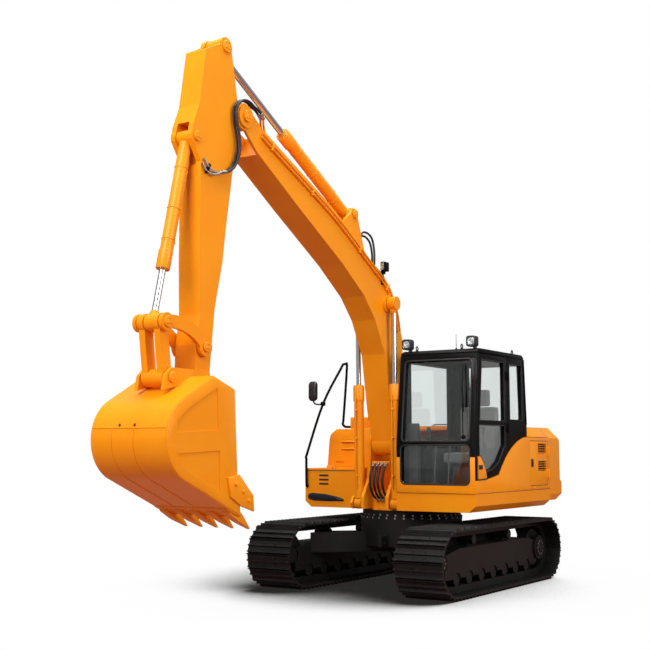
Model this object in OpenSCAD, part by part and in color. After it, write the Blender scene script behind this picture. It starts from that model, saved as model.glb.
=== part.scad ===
// Crawler excavator with a swing upper body, boom, arm and bucket.
// Lengths are in millimetres. X points forward, Y to the left and Z up.

/* [Undercarriage] */
// Distance between the track centre lines
track_gauge = 1990; // [1950:10:2000]
// Width of one track shoe
shoe_w = 600; // [450:10:600]
// Track length over the grouser tips
track_len = 3455; // [3300:5:3600]
// Track height over the grouser tips
track_h = 785; // [740:5:820]
// Number of shoes in one track
shoe_count = 44; // [38:1:48]
// Thickness of the shoe plate
shoe_t = 14; // [10:1:20]
// Height of a grouser above its plate
grouser_h = 24; // [15:1:30]
// Height of the chain below the shoes
chain_h = 82; // [60:1:95]
// Width of one chain rail
rail_w = 46; // [30:1:60]
// Width of a track frame
frame_w = 250; // [200:10:280]

/* [Upper body] */
// Half width of the upper body
upper_hw = 1255; // [1200:5:1270]
// Height of the underside of the deck
deck_z = 926; // [915:1:950]
// Height of the top of the deck
deck_top = 1140; // [1120:5:1160]
// Swing radius of the counterweight
tail_r = 2270; // [2200:10:2300]
// Height of the engine hood
hood_z = 1935; // [1880:5:1950]
// Thickness of the body panels
panel_t = 55; // [40:1:60]
// Gap round doors and lids
door_gap = 6; // [5:0.5:8]

/* [Cab] */
// Right side of the cab
cab_y1 = 230; // [228:1:260]
// Height of the cab roof
cab_top = 2830; // [2780:5:2860]
// Front of the cab at the floor
cab_front_x = 790; // [770:5:800]
// Rear of the cab
cab_rear_x = -750; // [-755:1:-740]
// Rear edge of the cab door
door_rear_x = -150; // [-250:10:-100]
// Thickness of the window panes
glass_t = 6; // [4:1:10]

/* [Boom and arm] */
// Sideways place of the boom
boom_y = -100; // [-110:1:-95]
// Width of the boom
boom_w = 330; // [320:1:340]
// Thickness of the boom and arm plates
plate_t = 16; // [10:1:24]
// Width of the arm
arm_w = 260; // [240:2:264]
// Sideways distance from the boom to its cylinders
boom_cyl_dy = 255; // [253:1:258]
// Barrel radius of the boom cylinders
boom_cyl_r = 60; // [50:1:60]
// Barrel radius of the arm cylinder
arm_cyl_r = 68; // [55:1:72]
// Barrel radius of the bucket cylinder
bucket_cyl_r = 60; // [50:1:64]
// Rod radius of the cylinders
rod_r = 40; // [30:1:42]

/* [Bucket] */
// Width of the bucket
bucket_w = 900; // [700:10:1000]
// Radius of the bucket's back
heel_r = 400; // [390:1:405]
// Number of teeth
tooth_count = 5; // [4:1:6]
// Width of one tooth
tooth_w = 70; // [50:1:90]

/* [Fits] */
// Gap between a wheel and the chain that runs on it
seat_gap = 0.3; // [0.1:0.1:0.9]
// Radius of a hinge knuckle
hinge_r = 14; // [10:1:18]
// Radius of a hinge pin
hinge_pin_r = 7; // [4:0.5:8]
// Length of one hinge
hinge_len = 120; // [80:5:160]
// Radial clearance of a pin in its bore
pin_gap = 0.05; // [0.02:0.01:0.1]
// Side clearance between moving plates
side_gap = 5; // [5:0.5:6]

/* [Hidden] */
$fn = 48;

// Pins of the working gear, as X and Z at rest
foot = [430, 1720];
nose = [3620, 5040];
lift_base = [660, 1000];
lift_eye = [700, 3420];
crowd_base = [1400, 4420];
crowd_eye = [3890, 5710];
tip = [4220, 2300];
link_arm = [4220, 2620];
link_top = [4785, 2815];
link_bucket = [4715, 2305];
curl_base = [4339, 4674];
heel = [4700, 1740];

// Middle of the whole machine along X
mid_x = (heel[0] + heel_r - tail_r) / 2;
boom_hw = boom_w / 2;
arm_hw = arm_w / 2;
foot_hw = 145;
lug_t = 40;
body_red = [0.95, 0.6, 0.1];
black = [0.08, 0.08, 0.09];
steel = [0.6, 0.6, 0.62];

module home() {
    translate([-mid_x, 0, 0]) children();
}

// A flat shape in X and Z, between two places across the machine
module slab(y1, y2) {
    translate([0, y2, 0]) rotate([90, 0, 0]) linear_extrude(y2 - y1) children();
}

// The same, measured from the middle of the boom
module slab_b(y1, y2) {
    slab(boom_y + y1, boom_y + y2) children();
}

// Two like slabs, one on each side of the boom
module pair_b(y1, y2) {
    slab_b(y1, y2) children();
    slab_b(-y2, -y1) children();
}

// A round bar across the machine
module bar_y(p, r, y1, y2) {
    translate([p[0], y1, p[1]]) rotate([-90, 0, 0]) cylinder(r = r, h = y2 - y1);
}

module bar_b(p, r, hw) {
    bar_y(p, r, boom_y - hw, boom_y + hw);
}

// A box given by two corners
module box(a, b) {
    translate(a) cube(b - a);
}

// A round tube between two points, with a round end
module tube(p, q, r) {
    d = q - p;
    len = norm(d);
    translate(p) rotate([0, acos(d[2] / len), atan2(d[1], d[0])]) cylinder(r = r, h = len);
    translate(q) sphere(r = r);
}

// One hinge: its axis is the local Z, its leaves lie on the plane y = -hinge_y
hinge_y = hinge_r + 2;
leaf_w = 40;
module leaf(z1, z2, s) {
    translate([0, 0, z1]) cylinder(r = hinge_r, h = z2 - z1);
    box([s > 0 ? 0 : -leaf_w, -hinge_y, z1], [s > 0 ? leaf_w : 0, -4, z2]);
}

module hinge_fixed() {
    leaf(0, 25, -1);
    leaf(hinge_len - 25, hinge_len, -1);
    cylinder(r = hinge_pin_r, h = hinge_len);
}

module hinge_moving() {
    difference() {
        leaf(26, hinge_len - 26, 1);
        cylinder(r = hinge_pin_r + pin_gap, h = hinge_len);
    }
}

function unit(v) = v / norm(v);
function turned(v, a) = [v[0] * cos(a) - v[1] * sin(a), v[0] * sin(a) + v[1] * cos(a)];
function angle_of(v) = atan2(v[1], v[0]);

// A polygon moved inwards by a distance, for walls of even thickness
function inward(p, t) = [for (i = [0:len(p) - 1])
    let (a = p[(i + len(p) - 1) % len(p)], b = p[i], c = p[(i + 1) % len(p)])
    let (u = unit(b - a), v = unit(c - b))
    let (n = [-u[1], u[0]], m = [-v[1], v[0]])
    b + t * (n + m) / (1 + n * m)];

// Track loop: a straight run above and below, and a half round at each end
loop_r = track_h / 2 - grouser_h - shoe_t;
loop_x = (track_len - track_h) / 2;
loop_len = 4 * loop_x + 2 * PI * loop_r;
shoe_pitch = loop_len / shoe_count;
loop_z = track_h / 2;
track_y = track_gauge / 2;

// Place and direction on the loop at a distance along it
function loop_at(s) = let (q = s % loop_len, st = 2 * loop_x, arc = PI * loop_r)
    q < st ? [[-loop_x + q, loop_z - loop_r], 0] :
    q < st + arc ? let (a = (q - st) / loop_r * 180 / PI)
        [[loop_x + loop_r * sin(a), loop_z - loop_r * cos(a)], a] :
    q < 2 * st + arc ? [[loop_x - (q - st - arc), loop_z + loop_r], 180] :
    let (a = (q - 2 * st - arc) / loop_r * 180 / PI)
        [[-loop_x - loop_r * sin(a), loop_z + loop_r * cos(a)], 180 + a];

// Section of one shoe with three grousers
shoe_half = shoe_pitch / 2 - 4;
shoe_top = shoe_t + grouser_h;
shoe_form = [[-shoe_half, -2], [-shoe_half, shoe_top], [-shoe_half + 22, shoe_t], [-14, shoe_t], [-6, shoe_top],
    [6, shoe_top], [14, shoe_t], [shoe_half - 22, shoe_t], [shoe_half, shoe_top], [shoe_half, -2]];

// Each shoe spans two pins of the chain
function chain_pin(k) = loop_at(k * shoe_pitch)[0];
function on_shoe(k, p) = let (a = chain_pin(k), b = chain_pin(k + 1))
    (a + b) / 2 + turned([p[0], -p[1]], angle_of(b - a));
function loop_line(off) = [for (k = [0:shoe_count - 1])
    let (l = loop_at(k * shoe_pitch)) l[0] + turned([0, -off], l[1])];

module track(y) {
    color(black) {
        slab(y - shoe_w / 2, y + shoe_w / 2) difference() {
            polygon([for (k = [0:shoe_count - 1]) for (p = shoe_form) on_shoe(k, p)]);
            polygon(loop_line(-8));
        }
        for (s = [-1, 1]) slab(y + s * 75 - rail_w / 2, y + s * 75 + rail_w / 2) difference() {
            polygon(loop_line(-6));
            polygon(loop_line(-chain_h));
        }
    }
}

module left_track() { home() track(track_y); }
module right_track() { home() track(-track_y); }

// Wheels run between the chain rails and on them
wheel_r = (loop_r - chain_h) * cos(shoe_pitch / loop_r * 90 / PI) - seat_gap;
module sprockets() {
    home() color(black) for (s = [-1, 1]) {
        bar_y([-loop_x, loop_z], wheel_r - 30, s * track_y - 50, s * track_y + 50);
        bar_y([-loop_x, loop_z], 150, s * track_y - 120, s * track_y + 150);
    }
}

module idlers() {
    home() color(black) for (s = [-1, 1]) {
        bar_y([loop_x, loop_z], wheel_r, s * track_y - 48, s * track_y + 48);
        bar_y([loop_x, loop_z], 90, s * track_y - 110, s * track_y + 110);
    }
}

roller_r = 75;
roller_z = loop_z - loop_r + chain_h + roller_r + seat_gap;
carrier_r = 55;
carrier_z = loop_z + loop_r - chain_h - carrier_r - seat_gap;
module rollers() {
    home() color(black) for (s = [-1, 1]) {
        for (k = [-3:3]) bar_y([k * 330, roller_z], roller_r, s * track_y - 110, s * track_y + 110);
        for (k = [-1, 1]) bar_y([k * 500, carrier_z], carrier_r, s * track_y - 100, s * track_y + 100);
    }
}

frame_z1 = roller_z + 10;
frame_z2 = carrier_z - carrier_r - 20;
module track_frames() {
    home() color(black) for (s = [-1, 1]) difference() {
        union() {
            slab(s * track_y - frame_w / 2, s * track_y + frame_w / 2)
                polygon([[-loop_x + 60, frame_z1], [loop_x - 30, frame_z1], [loop_x - 30, frame_z2 - 60],
                    [loop_x - 400, frame_z2], [-loop_x + 300, frame_z2], [-loop_x + 60, frame_z2 - 60]]);
            for (k = [-1, 1]) slab(s * track_y - 35, s * track_y + 35)
                translate([k * 500 - 45, frame_z2 - 5]) square([90, carrier_z - frame_z2 - 10]);
        }
        for (k = [-3:3]) wheel_cut([k * 330, roller_z], roller_r, s, 130);
        for (k = [-1, 1]) wheel_cut([k * 500, carrier_z], carrier_r, s, 130);
        wheel_cut([-loop_x, loop_z], 150, s, 130);
        wheel_cut([-loop_x, loop_z], loop_r - 20, s, 58);
        wheel_cut([loop_x, loop_z], 90, s, 130);
        wheel_cut([loop_x, loop_z], wheel_r + 10, s, 56);
    }
}

// Room in a track frame for a wheel
module wheel_cut(p, r, s, hw) {
    bar_y(p, r + seat_gap, s * track_y - hw, s * track_y + hw);
}

ring_z = 838;
tow_r = 32;
ring_r = 610;
module carbody() {
    home() color(black) {
        translate([0, 0, 480]) cylinder(r = ring_r + 20, h = ring_z - 480);
        intersection() {
            for (a = [48, 132, 228, 312]) rotate([0, 0, a]) box([0, -150, 400], [1500, 150, 640]);
            box([-1000, -track_y + frame_w / 2, 300], [1000, track_y - frame_w / 2, 700]);
        }
        for (s = [-1, 1]) slab(-20, 20) difference() {
            translate([s > 0 ? ring_r : -ring_r - 190, 490]) square([190, 130]);
            translate([s * (ring_r + 130), 555]) circle(r = tow_r);
        }
    }
}

module slew_ring() {
    home() color(steel) difference() {
        translate([0, 0, ring_z]) cylinder(r = ring_r, h = deck_z - 14 - seat_gap - ring_z);
        translate([0, 0, ring_z - 1]) cylinder(r = ring_r - 130, h = 200);
    }
}

// Deck with the boom lugs and the feet of the lift cylinders
lug_in = foot_hw + side_gap;
lug_out = boom_cyl_dy + boom_cyl_r + side_gap;
lift_pin_dy = (lug_in + lug_out + 28) / 2;
lift_pin_hw = lug_out + 28 - lift_pin_dy;
module deck() {
    home() color(body_red) {
        difference() {
            union() {
                deck_block(-1480, 520, -upper_hw, upper_hw);
                intersection() {
                    deck_block(-1480, cab_front_x - 10, -upper_hw, upper_hw);
                    box([500, cab_y1 - 4, 800], [900, 1400, 1300]);
                }
            }
            box([-1440, -upper_hw + 110, deck_z + 25], [480, upper_hw - 110, deck_top - 25]);
        }
        translate([0, 0, deck_z - 14]) difference() {
            cylinder(r = ring_r - 30, h = 16);
            translate([0, 0, -1]) cylinder(r = ring_r - 130, h = 40);
        }
        pair_b(lug_in, lug_in + lug_t) union() {
            polygon([[-350, deck_top - 10], [280, foot[1] + 60], [foot[0] + 140, foot[1]], [600, 1300],
                [745, 1080], [745, 932], [500, 932], [500, deck_top - 10]]);
            translate(foot) circle(r = 150);
        }
        pair_b(lug_out, lug_out + 28) polygon([[510, 940], [700, 930], [745, 1000], [700, 1070],
            [515, 1120]]);
        bar_b(foot, 50, lug_in + lug_t);
        for (s = [-1, 1]) bar_y(lift_base, 38, boom_y + s * lift_pin_dy - lift_pin_hw, boom_y + s * lift_pin_dy + lift_pin_hw);
    }
}

module deck_block(x1, x2, y1, y2) {
    translate([x1, 0, 0]) rotate([90, 0, 90]) linear_extrude(x2 - x1)
        polygon([[y1, deck_top], [y1, 1000], [y1 + 90, deck_z], [y2 - 90, deck_z], [y2, 1000], [y2, deck_top]]);
}

// Counterweight with two holes in its top for lifting eyes
lift_hole_r = 21;
lift_hole_y = 400;
module counterweight() {
    home() color(body_red) {
        difference() {
            intersection() {
                translate([0, 0, 988]) cylinder(r = tail_r, h = hood_z - 988);
                slab(-upper_hw + 5, upper_hw - 5) polygon([[-2400, 988], [-1480, 988], [-1480, hood_z],
                    [-1610, hood_z], [-1830, hood_z - 150], [-2400, hood_z - 330]]);
            }
            for (y = [-lift_hole_y, lift_hole_y])
                translate([-1545, y, hood_z - 90]) cylinder(r = lift_hole_r, h = 100);
        }
        hood_hinges() hinge_fixed();
    }
}

module engine() {
    home() color(steel) box([-1380, -520, deck_top], [-820, 620, 1820]);
}

module fuel_tank() {
    home() color(body_red) difference() {
        box([-700, -1200, deck_top], [90, -430, 1915]);
        box([-680, -1180, deck_top + 20], [70, -450, 1895]);
    }
}

module valve_cover() {
    home() color(body_red) box([-740, -410, deck_top], [-360, 215, 1560]);
}

// Left side panel with its curved upper edge
hood_t = 35;
cover_line = [[330, deck_top], [106, 1334], [-246, 1652], [-560, 1840], [cab_rear_x, hood_z - hood_t]];
module left_cover() {
    home() color(body_red) {
        difference() {
            slab(upper_hw - panel_t, upper_hw)
                polygon(concat([[-1480, deck_top]], cover_line, [[-1480, hood_z - hood_t]]));
            box([-1420, upper_hw - 80, 1190], [-830, 1300, 1840]);
        }
        side_hinges(1) hinge_fixed();
    }
}

// Places of the hinges on the side doors, the hood and the box lid
module side_hinges(s) {
    for (z = [1280, 1620]) translate([-1417, s * (upper_hw + hinge_y), z]) mirror([0, s > 0 ? 0 : 1, 0]) children();
}

module hood_hinges() {
    for (y = [-700, 820]) translate([-1477, y, hood_z + hinge_y]) rotate([90, 0, 0]) children();
}

module box_hinges() {
    for (y = [-1050, -560]) translate([142, y, box_z + hinge_y]) rotate([90, 0, 0]) children();
}

module left_service_door() {
    home() color(body_red) {
        box([-1420 + door_gap, upper_hw - panel_t, 1190 + door_gap], [-830 - door_gap, upper_hw, 1840 - door_gap]);
        side_hinges(1) hinge_moving();
    }
}

module right_cover() {
    home() color(body_red) {
        difference() {
            box([-1480, -upper_hw, deck_top], [-710, -upper_hw + panel_t, hood_z - hood_t]);
            box([-1420, -1300, 1190], [-760, -upper_hw + 80, 1840]);
        }
        side_hinges(-1) hinge_fixed();
    }
}

module right_service_door() {
    home() color(body_red) {
        box([-1420 + door_gap, -upper_hw, 1190 + door_gap], [-760 - door_gap, -upper_hw + panel_t, 1840 - door_gap]);
        side_hinges(-1) hinge_moving();
    }
}

module engine_hood() {
    home() color(body_red) {
        box([-1480 + door_gap, -upper_hw + 8, hood_z - hood_t], [cab_rear_x - 12, upper_hw - 8, hood_z]);
        hood_hinges() hinge_moving();
    }
}

box_z = 1412;
module toolbox() {
    home() color(body_red) {
        difference() {
            box([96, -upper_hw, deck_top], [520, -460, box_z]);
            box([140, -1400, box_z - 24], [600, 0, box_z + 50]);
            box([160, -upper_hw + 30, deck_top + 20], [490, -490, box_z + 50]);
        }
        box_hinges() hinge_fixed();
    }
}

module toolbox_lid() {
    home() color(body_red) {
        box([140 + door_gap, -upper_hw, box_z - 24], [520, -460, box_z]);
        box_hinges() hinge_moving();
    }
}

rail_x = 540;
module handrails() {
    home() color(black) {
        tube([rail_x, -1235, 1200], [rail_x, -1235, 2200], 16);
        tube([rail_x, -1235, 2200], [rail_x, -1180, 2420], 16);
        tube([rail_x, -1180, 2420], [rail_x, -840, 2745], 16);
        tube([rail_x, -840, 2745], [rail_x, -560, 1250], 16);
        tube([520, -1235, 1200], [rail_x, -1235, 1200], 16);
        tube([520, -560, 1250], [rail_x, -560, 1250], 16);
    }
}

module mirrors() {
    home() color(black) {
        box([rail_x + 20, -1290, 2330], [rail_x + 60, -1120, 2560]);
        box([rail_x + 16, -1212, 2300], [rail_x + 24, -1180, 2340]);
        box([700, upper_hw, 2180], [760, upper_hw + 35, 2500]);
    }
}

// Cab shell: profile of the inside, seen from the side
wall_t = 56;
cab_floor_z = 1205;
bend_z = 1700;
roof_z = cab_top - 56;
cab_slope = 118;
cab_y2 = upper_hw;
in_front = cab_front_x - wall_t;
in_rear = cab_rear_x + wall_t;
cab_inside = [[in_rear, cab_floor_z], [in_front, cab_floor_z], [in_front, bend_z], [in_front - cab_slope, roof_z],
    [in_rear + 60, roof_z], [in_rear, 1940]];

module cab_floor() {
    home() color(body_red) box([cab_rear_x, cab_y1, deck_top], [cab_front_x, cab_y2 - panel_t - 2, cab_floor_z]);
}

module cab_front() {
    home() color(black) difference() {
        slab(cab_y1, cab_y2) polygon([[in_front, cab_floor_z], [cab_front_x, cab_floor_z], [cab_front_x, bend_z],
            [cab_front_x - cab_slope, roof_z], [in_front - cab_slope, roof_z], [in_front, bend_z]]);
        box([500, cab_y1 + 80, 1250], [900, cab_y2 - 70, bend_z - 20]);
        box([500, cab_y1 + 80, bend_z + 30], [900, cab_y2 - 70, roof_z - 60]);
    }
}

module cab_right_wall() {
    home() color(black) difference() {
        slab(cab_y1, cab_y1 + wall_t) polygon(cab_inside);
        box([-560, 0, 1760], [500, 500, roof_z - 80]);
    }
}

module cab_rear_wall() {
    home() color(black) difference() {
        slab(cab_y1, cab_y2) polygon([[cab_rear_x, cab_floor_z], [in_rear, cab_floor_z], [in_rear, 1940],
            [in_rear + 60, roof_z], [cab_rear_x + 60, roof_z], [cab_rear_x, 1940]]);
        box([-900, cab_y2 - panel_t - 2, 1100], [0, 1400, 1960]);
        box([-900, cab_y1 + 90, 1990], [-500, cab_y2 - 90, roof_z - 80]);
    }
}

// What lies above the left side panel
module above_cover() {
    difference() {
        polygon(cab_inside);
        polygon(concat([[-1480, 1000], [340, 1000]], [for (p = cover_line) p + [door_gap, door_gap]],
            [[-1480, hood_z]]));
    }
}

module cab_left_wall() {
    home() color(black) difference() {
        slab(cab_y2 - wall_t, cab_y2) intersection() {
            above_cover();
            polygon([[-900, 1000], [door_rear_x, 1000], [door_rear_x, 3000], [-900, 3000]]);
        }
        box([-600, 1000, 2010], [door_rear_x - 70, 1400, roof_z - 80]);
    }
    home() color(black) door_hinges() hinge_fixed();
}

module door_hinges() {
    for (z = [1850, 2480]) translate([door_rear_x + 3, cab_y2 + hinge_y, z]) children();
}

module cab_door() {
    home() color(black) difference() {
        slab(cab_y2 - wall_t, cab_y2) intersection() {
            above_cover();
            polygon(inward([[door_rear_x, cab_floor_z], [in_front, cab_floor_z], [in_front, bend_z],
                [in_front - cab_slope, roof_z], [door_rear_x, roof_z]], door_gap));
        }
        door_window(200);
    }
    home() color(black) door_hinges() hinge_moving();
}

module door_window(t) {
    slab(cab_y2 - wall_t / 2 - t / 2, cab_y2 - wall_t / 2 + t / 2)
        polygon([[door_rear_x + 90, 1760], [350, 1480], [in_front - 90, 1480], [in_front - 90, bend_z],
            [in_front - cab_slope - 60, roof_z - 80], [door_rear_x + 90, roof_z - 80]]);
}

module door_glass() {
    home() color("lightblue", 0.4) door_window(glass_t);
}

module cab_roof() {
    home() color(black) slab(cab_y1, cab_y2) polygon([[cab_rear_x + 60, roof_z], [cab_front_x - cab_slope, roof_z],
        [cab_front_x - cab_slope - 10, cab_top - 10], [cab_front_x - cab_slope - 90, cab_top],
        [cab_rear_x + 80, cab_top]]);
}

module cab_glass() {
    home() color("lightblue", 0.4) {
        box([cab_front_x - 34, cab_y1 + 80, 1250], [cab_front_x - 34 + glass_t, cab_y2 - 70, bend_z - 20]);
        slab(cab_y1 + 80, cab_y2 - 70) intersection() {
            translate([cab_front_x - 34, bend_z]) rotate(atan2(cab_slope, roof_z - bend_z)) square([glass_t, 1200]);
            polygon([[0, bend_z + 30], [1000, bend_z + 30], [1000, roof_z - 60], [0, roof_z - 60]]);
        }
        box([-560, cab_y1 + 25, 1760], [500, cab_y1 + 25 + glass_t, roof_z - 80]);
        box([-600, cab_y2 - 30, 2010], [door_rear_x - 70, cab_y2 - 30 + glass_t, roof_z - 80]);
        slab(cab_y1 + 90, cab_y2 - 90) intersection() {
            translate([cab_rear_x + 25, 1940]) rotate(-atan2(60, roof_z - 1940)) square([glass_t, 1200]);
            polygon([[-1000, 1990], [0, 1990], [0, roof_z - 80], [-1000, roof_z - 80]]);
        }
    }
}

module seat() {
    home() color(black) translate([-180, 740, 0]) {
        box([-180, -170, cab_floor_z], [180, 170, 1480]);
        box([-240, -250, 1480], [270, 250, 1610]);
        box([-340, -240, 1610], [-200, 240, 2180]);
        box([-330, -130, 2180], [-230, 130, 2400]);
    }
}

module controls() {
    home() color(black) {
        box([-350, 300, cab_floor_z], [250, 440, 1660]);
        box([-350, 1040, cab_floor_z], [250, 1150, 1660]);
        for (y = [370, 1095]) tube([180, y, 1660], [210, y, 1860], 14);
        for (y = [650, 830]) box([560, y - 45, cab_floor_z], [680, y + 45, cab_floor_z + 40]);
        for (y = [650, 830]) tube([620, y, cab_floor_z + 20], [560, y, 1750], 12);
        box([560, 320, cab_floor_z], [640, 440, 1850]);
    }
}

module cab_lamps() {
    home() color(black) for (y = [cab_y1 + 60, cab_y2 - 220]) {
        box([520, y, cab_top], [600, y + 150, cab_top + 110]);
    }
}

// Boom: a bent box section with a fork at its nose
boom_form = [[300, 1700], [323, 3021], [590, 3605], [802, 3780], [1052, 3889], [1873, 4361], [2997, 4848],
    [3330, 4998], [3560, 5150], [3740, 4980], [3623, 4915], [3402, 4718], [2647, 4285], [1723, 3778],
    [1243, 3462], [991, 3202], [761, 2800], [611, 2016], [560, 1700]];
boom_core = [for (i = [len(boom_form) - 1:-1:0]) boom_form[i]];
fork_r = 420;
module boom() {
    home() color(body_red) {
        difference() {
            union() {
                slab_b(-boom_hw, boom_hw) union() {
                    polygon(boom_form);
                    translate(nose) circle(r = 140);
                    translate(foot) circle(r = 140);
                }
                pair_b(boom_hw - 1, boom_hw + 25) translate(nose) circle(r = 120);
                pair_b(boom_hw - 1, boom_hw + 30) translate(lift_eye) circle(r = 110);
            }
            slab_b(-boom_hw + plate_t, boom_hw - plate_t) difference() {
                polygon(inward(boom_core, plate_t));
                translate(nose) circle(r = fork_r + plate_t);
                translate(foot) circle(r = 300);
            }
            slab_b(-arm_hw - side_gap, arm_hw + side_gap) translate(nose) circle(r = fork_r);
            pair_b(foot_hw, boom_hw + 50) translate(foot) circle(r = 330);
            bar_b(foot, 50 + pin_gap, 300);
        }
        bar_b(nose, 50, boom_hw + 40);
        pair_b(95, 130) polygon([crowd_base + [-70, -20], crowd_base + [-50, 60], crowd_base + [40, 70],
            crowd_base + [90, 0], [1700, 4254], [1150, 3938]]);
        bar_b(crowd_base, 42, 140);
    }
}

module boom_lamp() {
    home() color(black) {
        box([760, boom_y + boom_hw, 3800], [880, boom_y + boom_hw + 70, 3920]);
        box([790, boom_y + boom_hw, 3640], [850, boom_y + boom_hw + 10, 3810]);
    }
}

// A cylinder barrel that points from its base pin to its eye
module barrel(base, eye, dy, r, len, eye_hw, bore) {
    a = angle_of(eye - base);
    translate([base[0], boom_y + dy, base[1]]) rotate([0, -a, 0]) {
        difference() {
            union() {
                translate([60, 0, 0]) rotate([0, 90, 0]) cylinder(r = r, h = len - 60);
                translate([len - 90, 0, 0]) rotate([0, 90, 0]) cylinder(r = r + 6, h = 90);
                translate([0, eye_hw, 0]) rotate([90, 0, 0]) cylinder(r = r + 12, h = 2 * eye_hw);
            }
            rotate([90, 0, 0]) cylinder(r = bore + pin_gap, h = 400, center = true);
            translate([150, 0, 0]) rotate([0, 90, 0]) cylinder(r = rod_r + pin_gap, h = len);
        }
    }
}

// A rod with its eye
module rod(base, eye, dy, start, eye_r, eye_hw) {
    a = angle_of(eye - base);
    len = norm(eye - base);
    translate([base[0], boom_y + dy, base[1]]) rotate([0, -a, 0]) {
        translate([start, 0, 0]) rotate([0, 90, 0]) cylinder(r = rod_r, h = len - start);
        translate([len, eye_hw, 0]) rotate([90, 0, 0]) cylinder(r = eye_r, h = 2 * eye_hw);
    }
}

module boom_cylinders() {
    home() color(body_red) for (s = [-1, 1])
        barrel(lift_base, lift_eye, s * boom_cyl_dy, boom_cyl_r, 1430, 45, 38);
}

module boom_rods() {
    home() color(steel) for (s = [-1, 1]) rod(lift_base, lift_eye, s * boom_cyl_dy, 1260, 85, 52);
}

module arm_cylinder() {
    home() color(body_red) barrel(crowd_base, crowd_eye, 0, arm_cyl_r, 1480, 88, 42);
}

module arm_rod() {
    home() color(steel) rod(crowd_base, crowd_eye, 0, 1220, 90, 68);
}

module bucket_cylinder() {
    home() color(body_red) barrel(curl_base, link_top, 0, bucket_cyl_r, 1380, 70, 40);
}

module bucket_rod() {
    home() color(steel) rod(curl_base, link_top, 0, 1010, 80, 48);
}

// Arm: a box section with ears for the crowd cylinder and a tip for the bucket
arm_form = [[3850, 5790], [4210, 5591], [4306, 5005], [4400, 4780], [4420, 4640], [4278, 4440], [4278, 3445],
    [4262, 2938], [4310, 2640], [4320, 2300], [4120, 2300], [4101, 2409], [4037, 3006], [3918, 3496],
    [3872, 3824], [3690, 4900], [3560, 4930], [3540, 5160], [3699, 5201], [3800, 5680]];
module arm() {
    home() color(body_red) {
        difference() {
            slab_b(-arm_hw, arm_hw) union() {
                polygon(arm_form);
                translate(nose) circle(r = 140);
                translate(tip) circle(r = 105);
                translate(crowd_eye) circle(r = 95);
                translate(curl_base) circle(r = 85);
            }
            slab_b(-arm_hw + plate_t, arm_hw - plate_t) difference() {
                polygon(inward([for (i = [len(arm_form) - 1:-1:0]) arm_form[i]], plate_t));
                translate(nose) circle(r = 160);
                translate(crowd_eye) circle(r = 310);
                translate(curl_base + [-120, -280]) square([400, 440]);
                translate([3500, 2000]) square([1000, 780]);
            }
            slab_b(-76, 76) translate(crowd_eye) circle(r = 290);
            slab_b(-75, 75) translate(curl_base + [-100, -260]) square([300, 400]);
            bar_b(nose, 50 + pin_gap, 300);
            bar_b(tip, 45 + pin_gap, 300);
            bar_b(link_arm, 40 + pin_gap, 300);
        }
        bar_b(curl_base, 40, arm_hw + 12);
        pair_b(arm_hw - 2, arm_hw + 12) translate(crowd_eye) circle(r = 60);
    }
}

// A bowed band between two pins
module bowed(a, b, bow, hw) {
    c = norm(b - a);
    r = c * c / (8 * bow) + bow / 2;
    translate(a) rotate(angle_of(b - a)) translate([c / 2, bow - r]) intersection() {
        difference() {
            circle(r = r + hw);
            circle(r = r - hw);
        }
        polygon([[0, 0], [0.75 * c, 1.5 * (r - bow)], [0, 2 * r], [-0.75 * c, 1.5 * (r - bow)]]);
    }
}

link_bow = 75;
module guide_links() {
    home() color(body_red) {
        pair_b(arm_hw + 10, arm_hw + 50) union() {
            translate(link_arm) circle(r = 90);
            translate(link_top) circle(r = 85);
            bowed(link_arm, link_top, link_bow, 62);
        }
        bar_b(link_arm, 40, arm_hw + 60);
        pair_b(arm_hw + 48, arm_hw + 62) translate(link_top) circle(r = 50);
    }
}

link_hw = arm_hw - 2;
module bucket_link() {
    home() color(body_red) difference() {
        union() {
            pair_b(56, link_hw) union() {
                translate(link_top) circle(r = 85);
                translate(link_bucket) circle(r = 80);
                translate(link_bucket) rotate(angle_of(link_top - link_bucket)) translate([0, -60])
                    square([norm(link_top - link_bucket), 120]);
            }
            bar_b(link_bucket, 80, link_hw);
        }
        bar_b(link_bucket, 40 + pin_gap, 300);
    }
}

// Bucket: a round back, a flat floor and top, side plates and hinge ears
bucket_hw = bucket_w / 2;
shell_t = 22;
floor_a = -69;
top_a = 64;
// The plates leave the round back a little outside its tangent
plate_turn = 2;
floor_dir = turned([sin(floor_a), -cos(floor_a)], plate_turn);
top_dir = turned([-sin(top_a), cos(top_a)], -plate_turn);
function on_heel(a, t) = heel + (heel_r - t) * [cos(a), sin(a)];
lip = on_heel(floor_a, 0) + 905 * floor_dir;
lip_in = on_heel(floor_a, shell_t) + 905 * floor_dir;
brow = on_heel(top_a, 0) + 480 * top_dir;
cheek = [4120, 2209];
jaw = [4069, 1405];
module bucket_form() {
    translate(heel) circle(r = heel_r);
    polygon([lip, on_heel(floor_a, 0), heel, on_heel(top_a, 0), brow, cheek, jaw]);
}

module bucket_room() {
    translate(heel) circle(r = heel_r - shell_t);
    polygon([on_heel(floor_a, shell_t) + 1500 * floor_dir, on_heel(floor_a, shell_t), heel,
        on_heel(top_a, shell_t), on_heel(top_a, shell_t) + 900 * top_dir, [3000, 2600], [3000, 1000]]);
}

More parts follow.
